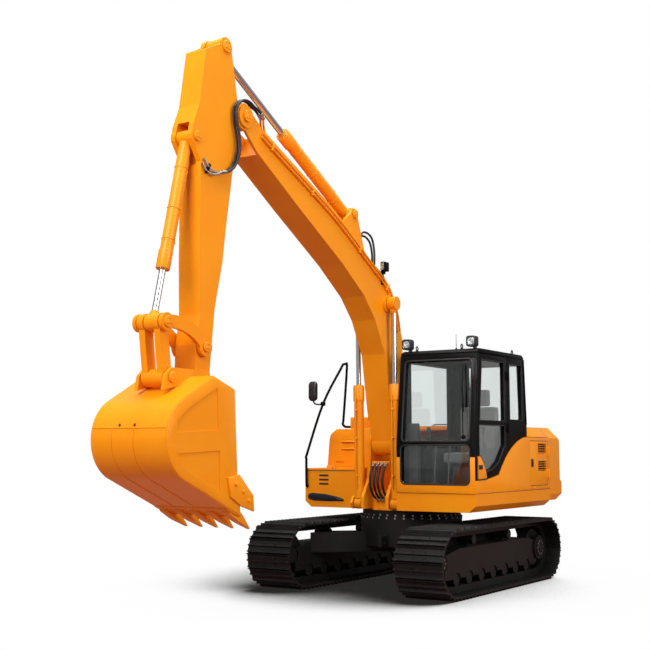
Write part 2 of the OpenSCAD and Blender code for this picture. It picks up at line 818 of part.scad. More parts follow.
module bucket() {
    home() color(body_red) {
        difference() {
            slab_b(-bucket_hw, bucket_hw) bucket_form();
            slab_b(-bucket_hw + shell_t, bucket_hw - shell_t) bucket_room();
        }
        pair_b(arm_hw + 12, arm_hw + 48) difference() {
            polygon([tip + [-90, -60], tip + [-60, 80], tip + [60, 92], link_bucket + [0, 92],
                link_bucket + [85, 20], link_bucket + [110, -120], [4480, 2260], tip + [60, -90]]);
            translate(-shell_t / 2 * [cos(top_a), sin(top_a)])
                polygon([brow, on_heel(top_a, 0), heel, heel + brow - on_heel(top_a, 0)]);
        }
        bar_b(tip, 45, arm_hw + 60);
        bar_b(link_bucket, 40, arm_hw + 60);
    }
}

module bucket_teeth() {
    home() color(black) for (k = [0:tooth_count - 1])
        translate([0, boom_y - bucket_hw + 50 + k * (bucket_w - 100) / (tooth_count - 1), 0])
            slab(-tooth_w / 2, tooth_w / 2) polygon([lip, lip_in, [3840, 955], [3795, 883]]);
}

carbody();
track_frames();
left_track();
right_track();
sprockets();
idlers();
rollers();
slew_ring();
deck();
counterweight();
engine();
fuel_tank();
valve_cover();
left_cover();
right_cover();
toolbox();
handrails();
mirrors();
cab_floor();
cab_front();
cab_right_wall();
cab_rear_wall();
cab_left_wall();
cab_roof();
cab_glass();
seat();
controls();
cab_lamps();
cab_door();
door_glass();
engine_hood();
left_service_door();
right_service_door();
toolbox_lid();
boom();
boom_lamp();
boom_cylinders();
boom_rods();
arm_cylinder();
arm_rod();
arm();
bucket_cylinder();
bucket_rod();
guide_links();
bucket_link();
bucket();
bucket_teeth();
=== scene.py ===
"""Looks of a crawler excavator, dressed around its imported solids.

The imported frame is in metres: X forward, Y to the left, Z up. Places that go through at()
are machine millimetres, measured along X from the slew axis.
"""
import logging
import math
from dataclasses import dataclass, field
from enum import Enum
from functools import partial
from typing import Any, Callable, Iterable, Optional, Sequence

import bpy
from bpy.types import Material, NodeSocket, NodeTree, Object
from mathutils import Matrix, Vector

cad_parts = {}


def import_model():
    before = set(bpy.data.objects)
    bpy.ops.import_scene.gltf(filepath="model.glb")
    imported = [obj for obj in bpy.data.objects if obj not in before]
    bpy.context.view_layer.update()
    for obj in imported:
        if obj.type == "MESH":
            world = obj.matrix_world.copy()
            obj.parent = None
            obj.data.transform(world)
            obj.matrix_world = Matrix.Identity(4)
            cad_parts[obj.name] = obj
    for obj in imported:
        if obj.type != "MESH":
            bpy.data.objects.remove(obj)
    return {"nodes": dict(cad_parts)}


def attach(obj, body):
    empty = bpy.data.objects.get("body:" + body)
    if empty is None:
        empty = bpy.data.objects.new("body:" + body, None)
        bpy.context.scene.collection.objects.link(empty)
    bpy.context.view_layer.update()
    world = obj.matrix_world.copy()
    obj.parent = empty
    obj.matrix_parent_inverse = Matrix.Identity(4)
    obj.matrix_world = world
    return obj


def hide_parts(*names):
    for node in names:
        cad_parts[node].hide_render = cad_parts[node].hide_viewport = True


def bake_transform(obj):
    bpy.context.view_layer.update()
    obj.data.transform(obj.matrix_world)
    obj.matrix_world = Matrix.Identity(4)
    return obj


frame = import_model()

LOG = logging.getLogger("excavator")
SLEW_X = -1.415
AHEAD, ASIDE, UP = Vector((1, 0, 0)), Vector((0, 1, 0)), Vector((0, 0, 1))
RGBA = {"data_type": "RGBA"}
FACTOR, FIRST, SECOND, MIXED = 0, 6, 7, 2  # sockets of a node that mixes colours
WAVE_TURN = 6.283  # a wave texture's scale counts radians
Point = tuple[float, float, float]
Flat = tuple[float, float]
Pane = tuple[float, float, float, float, float]
Adder = Callable[..., NodeSocket]  # add_node with its tree given


class Body(Enum):
    """The moving bodies that a piece can ride on."""

    UNDERCARRIAGE = "undercarriage"
    UPPER = "upper"
    BOOM = "boom"
    ARM = "arm"
    BUCKET = "bucket"
    GUIDE_LINKS = "guide_links"
    BUCKET_CYLINDER = "bucket_cylinder"
    ARM_CYLINDER = "arm_cylinder"
    BOOM_CYLINDERS = "boom_cylinders"
    BOOM_RODS = "boom_rods"
    ARM_ROD = "arm_rod"
    BUCKET_ROD = "bucket_rod"
    CAB_DOOR = "cab_door"
    ENGINE_HOOD = "engine_hood"
    LEFT_DOOR = "left_service_door"
    RIGHT_DOOR = "right_service_door"
    TOOLBOX_LID = "toolbox_lid"


class Side(Enum):
    """The machine's two sides, as a sign along Y."""

    LEFT = 1
    RIGHT = -1

    @property
    def tag(self) -> str:
        """The side's word in the name of a piece."""
        return self.name.lower()

    @property
    def out(self) -> Vector:
        """The way out of the machine."""
        return Vector((0, self.value, 0))

    @property
    def door(self) -> Body:
        """The service door on this side."""
        return Body.LEFT_DOOR if self is Side.LEFT else Body.RIGHT_DOOR

    def between(self, a: float, b: float) -> list[float]:
        """Give two distances from the middle as places along Y, the lower one first."""
        return sorted((self.value * a, self.value * b))


def at(x: float, y: float, z: float) -> Vector:
    """Turn machine millimetres into a place in the frame."""
    return Vector((x / 1000 + SLEW_X, y / 1000, z / 1000))


def angles(count: int, first: float = 0.0) -> list[float]:
    """Give even angles round a full turn, the first one turned by a part of a step."""
    return [2 * math.pi * (k + first) / count for k in range(count)]


def linear(code: str) -> tuple[float, float, float, float]:
    """Turn an sRGB hex colour into linear light.

    Args:
        code: the colour as six hex digits after a hash sign.

    Returns:
        Red, green, blue and a full alpha.
    """
    parts = [int(code[i:i + 2], 16) / 255 for i in (1, 3, 5)]
    lit = [c / 12.92 if c <= 0.04045 else ((c + 0.055) / 1.055) ** 2.4 for c in parts]
    return (lit[0], lit[1], lit[2], 1.0)


def add_node(tree: NodeTree, kind: str, out: int | str = 0, values: Optional[dict[Any, Any]] = None,
             links: Optional[dict[Any, NodeSocket]] = None,
             settings: Optional[dict[str, Any]] = None) -> Optional[NodeSocket]:
    """Add a shader node with its constants, incoming links and settings.

    Args:
        tree: the node tree of the material or world.
        kind: the node's type name after its common prefix.
        out: the name or number of the output that is wanted.
        values: constants for its input sockets, by name or number.
        links: outputs of other nodes that feed its input sockets.
        settings: properties of the node itself.

    Returns:
        The wanted output, or none where the node has no outputs.
    """
    node = tree.nodes.new("ShaderNode" + kind)
    for key, value in (settings or {}).items():
        setattr(node, key, value)
    for key, value in (values or {}).items():
        node.inputs[key].default_value = value
    for key, value in (links or {}).items():
        tree.links.new(value, node.inputs[key])
    return node.outputs[out] if len(node.outputs) else None


def seen_ray(node: Adder) -> NodeSocket:
    """Tell the rays that the eye looks along, also through glass, from all others.

    Args:
        node: adds a node to the material or world.

    Returns:
        An output that is 1 for such a ray.
    """
    straight = node("LightPath", "Is Camera Ray")
    through = node("LightPath", "Is Transmission Ray")
    return node("Math", links={0: straight, 1: through}, settings={"operation": "MAXIMUM"})


@dataclass(frozen=True)
class Finish:
    """A real material by its common name; each kind says what it gives the eye."""

    name: str

    def shader(self, node: Adder, place: NodeSocket) -> NodeSocket:
        """Lay the nodes of the surface.

        Args:
            node: adds a node to the material.
            place: the place on the object, which the patterns follow.

        Returns:
            The output of the surface's shader.
        """
        raise NotImplementedError

    def build(self) -> Material:
        """Make the node material."""
        material = bpy.data.materials.new(self.name)
        material.use_nodes = True
        material.node_tree.nodes.clear()
        node = partial(add_node, material.node_tree)
        place = node("TexCoord", "Object")
        node("OutputMaterial", links={"Surface": self.shader(node, place)})
        return material


@dataclass(frozen=True)
class Enamel(Finish):
    """Sprayed enamel on steel plate: even colour, a soft gloss, rounded edges and faint orange peel."""

    colour: str
    faded: str
    edge: str
    roughness: float = 0.34
    coat: float = 0.35
    edge_mm: float = 5.0
    patch_mm: float = 420.0
    peel_mm: float = 5.0
    peel: float = 0.05
    gloss: float = 0.22

    def shader(self, node: Adder, place: NodeSocket) -> NodeSocket:
        """Lay the nodes: dusty patches, edges rubbed paler where the rounded normal leaves the true one, and peel."""
        patch = node("TexNoise", "Fac", {"Scale": 1000 / self.patch_mm, "Detail": 4.0}, {"Vector": place})
        dust = node("MapRange", "Result", {"From Min": 0.42, "From Max": 0.72, "To Max": 0.75}, {"Value": patch})
        base = node("Mix", MIXED, {FIRST: linear(self.colour), SECOND: linear(self.faded)}, {FACTOR: dust}, RGBA)
        soft = node("Bevel", "Normal", {"Radius": self.edge_mm / 1000}, settings={"samples": 4})
        true = node("NewGeometry", "True Normal")
        same = node("VectorMath", "Value", links={0: soft, 1: true}, settings={"operation": "DOT_PRODUCT"})
        rubbed = node("MapRange", "Result", {"From Min": 0.995, "From Max": 0.86, "To Max": 0.55}, {"Value": same})
        worn = node("Mix", MIXED, {SECOND: linear(self.edge)}, {FACTOR: rubbed, FIRST: base}, RGBA)
        fine = node("TexNoise", "Fac", {"Scale": 1000 / self.peel_mm, "Detail": 2.0}, {"Vector": place})
        bump = node("Bump", "Normal", {"Strength": self.peel, "Distance": 0.0006}, {"Height": fine, "Normal": soft})
        rough = node("MapRange", "Result", {"To Min": self.roughness - 0.06, "To Max": self.roughness + 0.1},
                     {"Value": patch})
        return node("BsdfPrincipled", 0, {"Coat Weight": self.coat, "Coat Roughness": 0.12, "IOR": 1.5,
                    "Specular IOR Level": self.gloss}, {"Base Color": worn, "Roughness": rough, "Normal": bump})


@dataclass(frozen=True)
class BareMetal(Finish):
    """Ground or plated metal: a clear mirror broken by fine turning marks and a little haze."""

    colour: str
    hazed: str
    roughness: float = 0.14
    mark_mm: float = 3.0
    patch_mm: float = 160.0

    def shader(self, node: Adder, place: NodeSocket) -> NodeSocket:
        """Lay the nodes: haze in patches and marks in the roughness."""
        patch = node("TexNoise", "Fac", {"Scale": 1000 / self.patch_mm, "Detail": 5.0}, {"Vector": place})
        tint = node("Mix", MIXED, {FIRST: linear(self.colour), SECOND: linear(self.hazed)}, {FACTOR: patch}, RGBA)
        fine = node("TexNoise", "Fac", {"Scale": 1000 / self.mark_mm, "Detail": 3.0}, {"Vector": place})
        rough = node("MapRange", "Result", {"To Min": self.roughness * 0.6, "To Max": self.roughness * 1.7},
                     {"Value": fine})
        bump = node("Bump", "Normal", {"Strength": 0.03, "Distance": 0.0004}, {"Height": fine})
        return node("BsdfPrincipled", 0, {"Metallic": 1.0}, {"Base Color": tint, "Roughness": rough, "Normal": bump})


@dataclass(frozen=True)
class Moulded(Finish):
    """Moulded rubber or plastic, or rough casting: deep, matt and slightly pebbled, with paler dust in patches."""

    colour: str
    dusty: str
    roughness: float = 0.55
    pebble_mm: float = 4.0
    pebble: float = 0.12
    patch_mm: float = 140.0

    def shader(self, node: Adder, place: NodeSocket) -> NodeSocket:
        """Lay the nodes: dust in patches and a pebbled skin."""
        patch = node("TexNoise", "Fac", {"Scale": 1000 / self.patch_mm, "Detail": 5.0}, {"Vector": place})
        tint = node("Mix", MIXED, {FIRST: linear(self.colour), SECOND: linear(self.dusty)}, {FACTOR: patch}, RGBA)
        cells = node("TexVoronoi", "Distance", {"Scale": 1000 / self.pebble_mm}, {"Vector": place})
        bump = node("Bump", "Normal", {"Strength": self.pebble, "Distance": 0.0008}, {"Height": cells})
        rough = node("MapRange", "Result", {"To Min": self.roughness - 0.08, "To Max": self.roughness + 0.12},
                     {"Value": patch})
        return node("BsdfPrincipled", 0, {"IOR": 1.48}, {"Base Color": tint, "Roughness": rough, "Normal": bump})


@dataclass(frozen=True)
class SafetyGlass(Finish):
    """Tinted toughened glass: clear, faintly filmed, and passed by the light that falls on what is behind it."""

    tint: str
    roughness: float = 0.0

    def shader(self, node: Adder, place: NodeSocket) -> NodeSocket:
        """Lay the nodes: glass to the eye and a clear tint to shadow rays."""
        film = node("TexNoise", "Fac", {"Scale": 3.0, "Detail": 3.0}, {"Vector": place})
        rough = node("MapRange", "Result", {"From Min": 0.45, "From Max": 0.8, "To Min": self.roughness,
                     "To Max": self.roughness + 0.004}, {"Value": film})
        glass = node("BsdfPrincipled", 0, {"Base Color": linear(self.tint), "Transmission Weight": 1.0, "IOR": 1.45},
                     {"Roughness": rough})
        clear = node("BsdfTransparent", 0, {"Color": linear(self.tint)})
        return node("MixShader", links={0: node("LightPath", "Is Shadow Ray"), 1: glass, 2: clear})


@dataclass(frozen=True)
class SeatCloth(Finish):
    """Woven seat cloth: two grey yarns crossing, with a soft sheen along the folds."""

    colour: str
    second: str
    thread_mm: float = 6.0

    def shader(self, node: Adder, place: NodeSocket) -> NodeSocket:
        """Lay the nodes; the threads are drawn coarser than real ones so that they show."""
        rows = [node("TexWave", "Fac", {"Scale": 1000 / self.thread_mm / WAVE_TURN, "Distortion": 1.5},
                     {"Vector": place}, {"bands_direction": way}) for way in ("Y", "Z")]
        weave = node("Math", links={0: rows[0], 1: rows[1]}, settings={"operation": "MULTIPLY"})
        tint = node("Mix", MIXED, {FIRST: linear(self.colour), SECOND: linear(self.second)}, {FACTOR: weave}, RGBA)
        bump = node("Bump", "Normal", {"Strength": 0.3, "Distance": 0.001}, {"Height": weave})
        return node("BsdfPrincipled", 0, {"Roughness": 0.85, "Sheen Weight": 0.3},
                    {"Base Color": tint, "Normal": bump})


@dataclass(frozen=True)
class StudioFloor(Finish):
    """White studio floor: white to the eye but for the soft shadow, and dull in the light that it sends back."""

    pale: str = "#FDFDFD"
    white: str = "#FFFFFF"
    shadow: str = "#2B2927"
    bounce: str = "#98706C"
    lean: Point = (-0.62, 0.4, 0.68)
    shadow_reach: float = 2.4
    shadow_range: Flat = (0.54, 0.895)
    fade: Flat = (2.5, 4.2)

    def shader(self, node: Adder, place: NodeSocket) -> NodeSocket:
        """Lay the nodes: a leaning closeness gives the shadow, which fades out away from the machine."""
        cloud = node("TexNoise", "Fac", {"Scale": 0.3}, {"Vector": place})
        tone = node("Mix", MIXED, {FIRST: linear(self.pale), SECOND: linear(self.white)}, {FACTOR: cloud}, RGBA)
        lean = node("CombineXYZ", "Vector", dict(zip("XYZ", self.lean)))
        close = node("AmbientOcclusion", "AO", {"Distance": self.shadow_reach}, {"Normal": lean}, {"samples": 16})
        shade = node("MapRange", "Result", dict(zip(("From Min", "From Max"), self.shadow_range)), {"Value": close})
        look = node("Mix", MIXED, {FIRST: linear(self.shadow)}, {FACTOR: shade, SECOND: tone}, RGBA)
        lit = node("Emission", 0, {"Strength": 1.0}, {"Color": look})
        away = node("VectorMath", "Value", {1: (SLEW_X, 0, 0)}, {0: place}, {"operation": "DISTANCE"})
        far = node("MapRange", "Result", dict(zip(("From Min", "From Max"), self.fade)), {"Value": away})
        white = node("Emission", 0, {"Strength": 1.0})
        shown = node("MixShader", links={0: far, 1: lit, 2: white})
        dim = node("BsdfDiffuse", 0, {"Color": linear(self.bounce)})
        return node("MixShader", links={0: seen_ray(node), 1: dim, 2: shown})


class Paint(Enum):
    """The machine's finishes."""

    ORANGE = Enamel("orange_enamel", "#F2920A", "#F29A10", "#F6AA2C", coat=0.06)
    BLACK = Enamel("black_satin_enamel", "#070708", "#0B0B0C", "#1C1C1E", roughness=0.42, coat=0.0, edge_mm=6.0,
                   gloss=0.08)
    TRACK = Enamel("black_undercarriage_paint", "#121211", "#1C1B1A", "#3A3834", roughness=0.5, coat=0.0, edge_mm=4.0,
                   patch_mm=260.0, peel_mm=9.0, peel=0.2)
    CHROME = BareMetal("hard_chrome", "#DADCDD", "#C6C8CA", roughness=0.12)
    ZINC = BareMetal("zinc_plated_steel", "#B9BBBC", "#9B9C9C", roughness=0.32)
    RUBBER = Moulded("hose_rubber", "#111112", "#1E1E1F", roughness=0.5)
    PLASTIC = Moulded("moulded_abs", "#151517", "#242426", roughness=0.42, pebble_mm=3.0, pebble=0.08)
    IRON = Moulded("cast_iron", "#2F2F30", "#3D3B39", roughness=0.62, pebble_mm=8.0, pebble=0.25)
    GLASS = SafetyGlass("tinted_safety_glass", "#EEF2F1")
    LENS = SafetyGlass("lamp_glass", "#EEF3F4", roughness=0.1)
    # Dark lamp glass whose blue tint is a painted reflection of a blue sky
    DARK_LENS_PAINTED_BLUE_REFLECTION = SafetyGlass("dark_lamp_glass_painted_blue_reflection", "#24407E", roughness=0.05)
    MIRROR = BareMetal("silvered_mirror", "#DCE1E4", "#D2D7DA", roughness=0.03)
    RED_OXIDE = Enamel("red_oxide_enamel", "#7A2A1C", "#8A3A28", "#9C4A36")
    CLOTH = SeatCloth("seat_cloth", "#4A4846", "#605C59")


NODE_PAINTS = {
    Paint.TRACK: ("carbody", "track_frames", "left_track", "right_track", "sprockets", "idlers", "rollers",
                  "slew_ring"),
    Paint.BLACK: ("handrails", "cab_front", "cab_right_wall", "cab_rear_wall", "cab_left_wall", "cab_roof",
                  "cab_door", "boom_lamp"),
    Paint.PLASTIC: ("mirrors", "controls", "cab_lamps", "cab_floor"),
    Paint.CHROME: ("boom_rods", "arm_rod", "bucket_rod"),
    Paint.GLASS: ("cab_glass", "door_glass"),
    Paint.IRON: ("engine",),
    Paint.CLOTH: ("seat",),
}


@dataclass
class Palette:
    """All the finishes of the machine, each built once."""

    made: dict[Paint, Material] = field(init=False)

    def __post_init__(self) -> None:
        """Build every finish."""
        self.made = {paint: paint.value.build() for paint in Paint}

    def dress_nodes(self) -> None:
        """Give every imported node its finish, which is orange enamel where no other is named."""
        paints = {node: paint for paint, nodes in NODE_PAINTS.items() for node in nodes}
        for name, node in frame["nodes"].items():
            material = self.made[paints.get(name, Paint.ORANGE)]
            if not node.material_slots:
                node.data.materials.append(material)
            for spot in node.material_slots:
                spot.material = material


@dataclass
class Studio:
    """The pale floor, the soft lamps and the camera at the photograph's place."""

    eye: Point = (11.285, 6.916, 1.635)
    heading_deg: float = 32.88
    pitch_deg: float = 6.313
    focal_px: float = 1135.19
    frame_px: float = 650.0
    sensor_mm: float = 36.0
    far_clip: float = 500.0
    floor_size: float = 160.0
    floor_drop: float = 0.001
    room_light: float = 0.22
    mirrored: float = 0.25

    def camera(self) -> None:
        """Set the camera up and make it the scene's own."""
        bpy.ops.object.select_all(action="DESELECT")
        bpy.ops.object.camera_add(location=self.eye)
        camera = bpy.context.object
        turn, tilt = math.radians(self.heading_deg), math.radians(self.pitch_deg)
        look = Vector((-math.cos(turn) * math.cos(tilt), -math.sin(turn) * math.cos(tilt), math.sin(tilt)))
        camera.rotation_euler = look.to_track_quat("-Z", "Y").to_euler()
        camera.data.sensor_width = self.sensor_mm
        camera.data.lens = self.focal_px / self.frame_px * self.sensor_mm
        camera.data.clip_end = self.far_clip
        bpy.context.scene.camera = camera

    def floor(self) -> None:
        """Lay the floor."""
        bpy.ops.mesh.primitive_plane_add(size=self.floor_size, location=(0, 0, -self.floor_drop))
        floor = bpy.context.object
        floor.name = "studio_floor"
        floor.data.materials.append(StudioFloor("pale_studio_floor").build())

    def world(self) -> None:
        """Light the room evenly, show it white where it is seen, and faintly where it is mirrored."""
        world = bpy.data.worlds.new("studio_room")
        bpy.context.scene.world = world
        world.use_nodes = True
        world.node_tree.nodes.clear()
        node = partial(add_node, world.node_tree)
        glossy = node("LightPath", "Is Glossy Ray")
        faint = node("Math", 0, {1: self.mirrored}, {0: glossy}, {"operation": "MULTIPLY"})
        shown = node("Math", links={0: seen_ray(node), 1: faint}, settings={"operation": "MAXIMUM"})
        level = node("MapRange", "Result", {"To Min": self.room_light, "To Max": 1.0}, {"Value": shown})
        back = node("Background", 0, {"Color": (1, 1, 1, 1)}, {"Strength": level})
        node("OutputWorld", links={"Surface": back}, settings={"is_active_output": True})

    def lamp(self, name: str, place: Point, aim: Point, size: float, watts: float) -> None:
        """Hang one soft square lamp.

        Args:
            name: the lamp's name.
            place: where it hangs.
            aim: the point that it faces.
            size: its side.
            watts: its power.
        """
        bpy.ops.object.light_add(type="AREA", location=place)
        lamp = bpy.context.object
        lamp.name = name
        lamp.data.size = size
        lamp.data.energy = watts
        lamp.rotation_euler = (Vector(aim) - Vector(place)).to_track_quat("-Z", "Y").to_euler()

    def build(self) -> None:
        """Set up the whole studio."""
        bpy.context.scene.view_settings.view_transform = "Standard"
        self.camera()
        self.floor()
        self.world()
        self.lamp("ceiling_lamp", (0.0, 0.0, 13.0), (0.0, 0.0, 1.0), 9.0, 1800.0)
        self.lamp("front_lamp", (11.0, 1.0, 8.5), (0.0, 0.0, 1.8), 6.0, 1150.0)
        self.lamp("left_lamp", (1.0, 12.0, 6.0), (-0.5, 0.0, 1.6), 6.0, 850.0)


def idle() -> None:
    """Leave edit mode and let go of everything that is selected."""
    if bpy.context.object is not None and bpy.context.object.mode != "OBJECT":
        bpy.ops.object.mode_set(mode="OBJECT")
    bpy.ops.object.select_all(action="DESELECT")


def hold(piece: Object) -> None:
    """Select one piece alone and make it active."""
    idle()
    piece.select_set(True)
    bpy.context.view_layer.objects.active = piece


def open_mesh() -> None:
    """Go into edit mode with the whole mesh selected."""
    bpy.ops.object.mode_set(mode="EDIT")
    bpy.ops.mesh.select_all(action="SELECT")


def settle(piece: Object) -> None:
    """Put a piece's place, turn and scale into its mesh, with its faces pointing outwards."""
    hold(piece)
    bpy.ops.object.transform_apply(location=True, rotation=True, scale=True)
    open_mesh()
    bpy.ops.mesh.normals_make_consistent(inside=False)
    bpy.ops.object.mode_set(mode="OBJECT")


def modify(piece: Object, kind: str, settings: dict[str, Any]) -> None:
    """Put one modifier on a piece and apply it.

    Args:
        piece: the piece.
        kind: the modifier's type name.
        settings: its properties.
    """
    hold(piece)
    modifier = piece.modifiers.new(kind.lower(), kind)
    for key, value in settings.items():
        setattr(modifier, key, value)
    bpy.ops.object.modifier_apply(modifier=modifier.name)


def soften(piece: Object, radius_mm: float) -> None:
    """Round a piece's sharp edges."""
    modify(piece, "BEVEL", {"width": radius_mm / 1000, "segments": 2, "limit_method": "ANGLE",
                            "angle_limit": math.radians(30)})


def cube(low: Point, high: Point) -> Object:
    """Model a plain block between two corners in machine millimetres."""
    idle()
    a, b = at(*low), at(*high)
    bpy.ops.mesh.primitive_cube_add(size=1.0, location=(a + b) / 2)
    piece = bpy.context.object
    piece.scale = b - a
    bpy.ops.object.transform_apply(location=True, rotation=True, scale=True)
    return piece


def block(low: Point, high: Point, edge_mm: float = 4.0) -> Object:
    """Model a block with rounded edges.

    Args:
        low: its lowest corner in machine millimetres.
        high: its highest corner.
        edge_mm: the radius of its edges.

    Returns:
        The new object.
    """
    piece = cube(low, high)
    soften(piece, edge_mm)
    return piece


def lathe(place: Vector, axis: Vector, steps: Sequence[Flat], sides: int = 24) -> Object:
    """Turn a round piece from a disc that is pushed out step by step.

    Args:
        place: the middle of its first face, in the frame.
        axis: the way that it grows.
        steps: the radius and the height of each ring, in millimetres.
        sides: how many sides the round has.

    Returns:
        The new object.
    """
    idle()
    radius, height = steps[0]
    bpy.ops.mesh.primitive_circle_add(vertices=sides, radius=radius / 1000, fill_type="NGON")
    piece = bpy.context.object
    open_mesh()
    for wide, tall in steps[1:]:
        bpy.ops.mesh.extrude_region_move(TRANSFORM_OT_translate={"value": (0, 0, (tall - height) / 1000)})
        if abs(wide - radius) > 1e-6:
            share = wide / radius
            bpy.ops.transform.resize(value=(share, share, share), center_override=(0, 0, (tall - steps[0][1]) / 1000))
        radius, height = wide, tall
    bpy.ops.object.mode_set(mode="OBJECT")
    piece.rotation_euler = axis.to_track_quat("Z", "Y").to_euler()
    piece.location = place
    settle(piece)
    return piece


def loop_of(points: Sequence[Vector], fill: str) -> Object:
    """Model a closed loop through given points.

    Args:
        points: its corners, in the frame.
        fill: how it is filled, NGON or NOTHING.

    Returns:
        The new object.
    """
    idle()
    bpy.ops.mesh.primitive_circle_add(vertices=len(points), radius=1.0, fill_type=fill)
    piece = bpy.context.object
    for corner, point in zip(piece.data.vertices, points):
        corner.co = point
    return piece


def outline(points: Sequence[Vector], push: Vector, edge_mm: float = 0.0) -> Object:
    """Model a flat plate from its outline and push it to its thickness.

    Args:
        points: the corners of one face, in the frame.
        push: the way and the length that the face is pushed.
        edge_mm: the radius of its edges.

    Returns:
        The new object.
    """
    piece = loop_of(points, "NGON")
    open_mesh()
    bpy.ops.mesh.extrude_region_move(TRANSFORM_OT_translate={"value": push})
    bpy.ops.object.mode_set(mode="OBJECT")
    settle(piece)
    if edge_mm:
        soften(piece, edge_mm)
    return piece


def along_x(shape: Sequence[Flat], x1: float, x2: float, edge_mm: float = 0.0) -> Object:
    """Push a shape along the machine.

    Args:
        shape: its corners as Y and Z, in machine millimetres.
        x1: where it starts.
        x2: where it ends.
        edge_mm: the radius of its edges.

    Returns:
        The new object.
    """
    return outline([at(x1, y, z) for y, z in shape], AHEAD * ((x2 - x1) / 1000), edge_mm)


def across(shape: Sequence[Flat], y1: float, y2: float, edge_mm: float = 0.0) -> Object:
    """Push a shape across the machine.

    Args:
        shape: its corners as X and Z, in machine millimetres.
        y1: where it starts.
        y2: where it ends.
        edge_mm: the radius of its edges.

    Returns:
        The new object.
    """
    return outline([at(x, y1, z) for x, z in shape], ASIDE * ((y2 - y1) / 1000), edge_mm)


def flowing(points: Sequence[Vector], share: int = 6) -> list[Vector]:
    """Draw a smooth line through given points.

    Args:
        points: the points that it passes.
        share: the steps between two of them.

    Returns:
        The points of the smooth line.
    """
    line: list[Vector] = []
    last = len(points) - 1
    for i in range(last):
        a, b, c, d = points[max(i - 1, 0)], points[i], points[i + 1], points[min(i + 2, last)]
        for k in range(share):
            t = k / share
            line.append(b + (c - a) * (t / 2) + (a * 2 - b * 5 + c * 4 - d) * (t * t / 2)
                        + (b * 3 - a - c * 3 + d) * (t ** 3 / 2))
    return line + [points[last].copy()]


def pipe(line: Sequence[Vector], radius_mm: float, ring: bool = False, round_steps: int = 3) -> Object:
    """Draw a round pipe along a line.

    Args:
        line: the points of its centre line, in the frame.
        radius_mm: its outer radius.
        ring: whether its ends meet.
        round_steps: how fine its round is.

    Returns:
        The new mesh object.
    """
    idle()
    curve = bpy.data.curves.new("pipe", "CURVE")
    curve.dimensions = "3D"
    curve.bevel_depth = radius_mm / 1000
    curve.bevel_resolution = round_steps
    curve.use_fill_caps = not ring
    spline = curve.splines.new("POLY")
    spline.points.add(len(line) - 1)
    spline.use_cyclic_u = ring
    for knot, point in zip(spline.points, line):
        knot.co = (*point, 1.0)
    piece = bpy.data.objects.new("pipe", curve)
    bpy.context.collection.objects.link(piece)
    hold(piece)
    bpy.ops.object.convert(target="MESH")
    return bpy.context.object


def joined(parts: Sequence[Object]) -> Object:
    """Join finished parts of one piece."""
    idle()
    for part in parts:
        part.select_set(True)
    bpy.context.view_layer.objects.active = parts[0]
    bpy.ops.object.join()
    return bpy.context.object


def placed(pattern: Object, places: Iterable[Matrix]) -> Object:
    """Copy one modelled pattern to many places and join the copies into one piece.

    Args:
        pattern: the piece modelled at the origin, which is used up.
        places: where each copy goes.

    Returns:
        The joined piece.
    """
    copies = []
    for place in places:
        twin = pattern.copy()
        twin.data = pattern.data.copy()
        twin.data.transform(place)
        bpy.context.collection.objects.link(twin)
        copies.append(twin)
    bpy.data.objects.remove(pattern)
    return joined(copies)


def facing(place: Vector, axis: Vector) -> Matrix:
    """Give the move that stands a pattern on a place with its Z along an axis."""
    return Matrix.Translation(place) @ axis.to_track_quat("Z", "Y").to_matrix().to_4x4()


def hex_bolt(head_mm: float) -> Object:
    """Model a hexagon bolt head with its washer at the origin.

    Args:
        head_mm: the head's radius.

    Returns:
        The bolt, ready to be copied.
    """
    rim, thick = head_mm * 1.35, head_mm * 0.18
    washer = lathe(Vector(), UP, [(rim, -2), (rim, thick)], 10)
    head = [(head_mm, 0), (head_mm, head_mm * 0.6), (head_mm * 0.84, head_mm * 0.75)]
    return joined([washer, lathe(UP * (thick / 1000), UP, head, 6)])


def carve(piece: Object, cutters: Sequence[Object]) -> Object:
    """Cut openings out of a piece.

    Args:
        piece: the piece that is cut.
        cutters: closed shapes to take away, which are used up.

    Returns:
        The same piece.
    """
    for cutter in cutters:
        modify(piece, "BOOLEAN", {"operation": "DIFFERENCE", "solver": "EXACT", "object": cutter})
        bpy.data.objects.remove(cutter)
    return piece


def loft(rings: Sequence[Sequence[Vector]]) -> Object:
    """Bridge rings of equal count into a closed shape.

    Args:
        rings: the rings from foot to head.

    Returns:
        The new object.
    """
    piece = joined([loop_of(ring, "NOTHING") for ring in rings])
    open_mesh()
    bpy.ops.mesh.bridge_edge_loops()
    bpy.ops.mesh.select_all(action="SELECT")
    bpy.ops.mesh.fill_holes(sides=0)
    bpy.ops.object.mode_set(mode="OBJECT")
    settle(piece)
    return piece


def bowed(a: Flat, b: Flat, bow: float, count: int) -> list[Flat]:
    """Draw a round line from one point to another that bulges to the left.

    Args:
        a: where it starts, as X and Z.
        b: where it ends.
        bow: how far its middle stands off the straight line.
        count: the steps along it.

    Returns:
        The points of the line.
    """
    start, end = Vector(a), Vector(b)
    chord = (end - start).length
    radius = chord * chord / (8 * bow) + bow / 2
    run = (end - start).normalized()
    middle = (start + end) / 2 + Vector((-run.y, run.x)) * (bow - radius)
    half = math.asin(chord / 2 / radius)
    first = math.atan2(start.y - middle.y, start.x - middle.x)
    turns = [first - 2 * half * k / count for k in range(count + 1)]
    return [(middle.x + radius * math.cos(a), middle.y + radius * math.sin(a)) for a in turns]


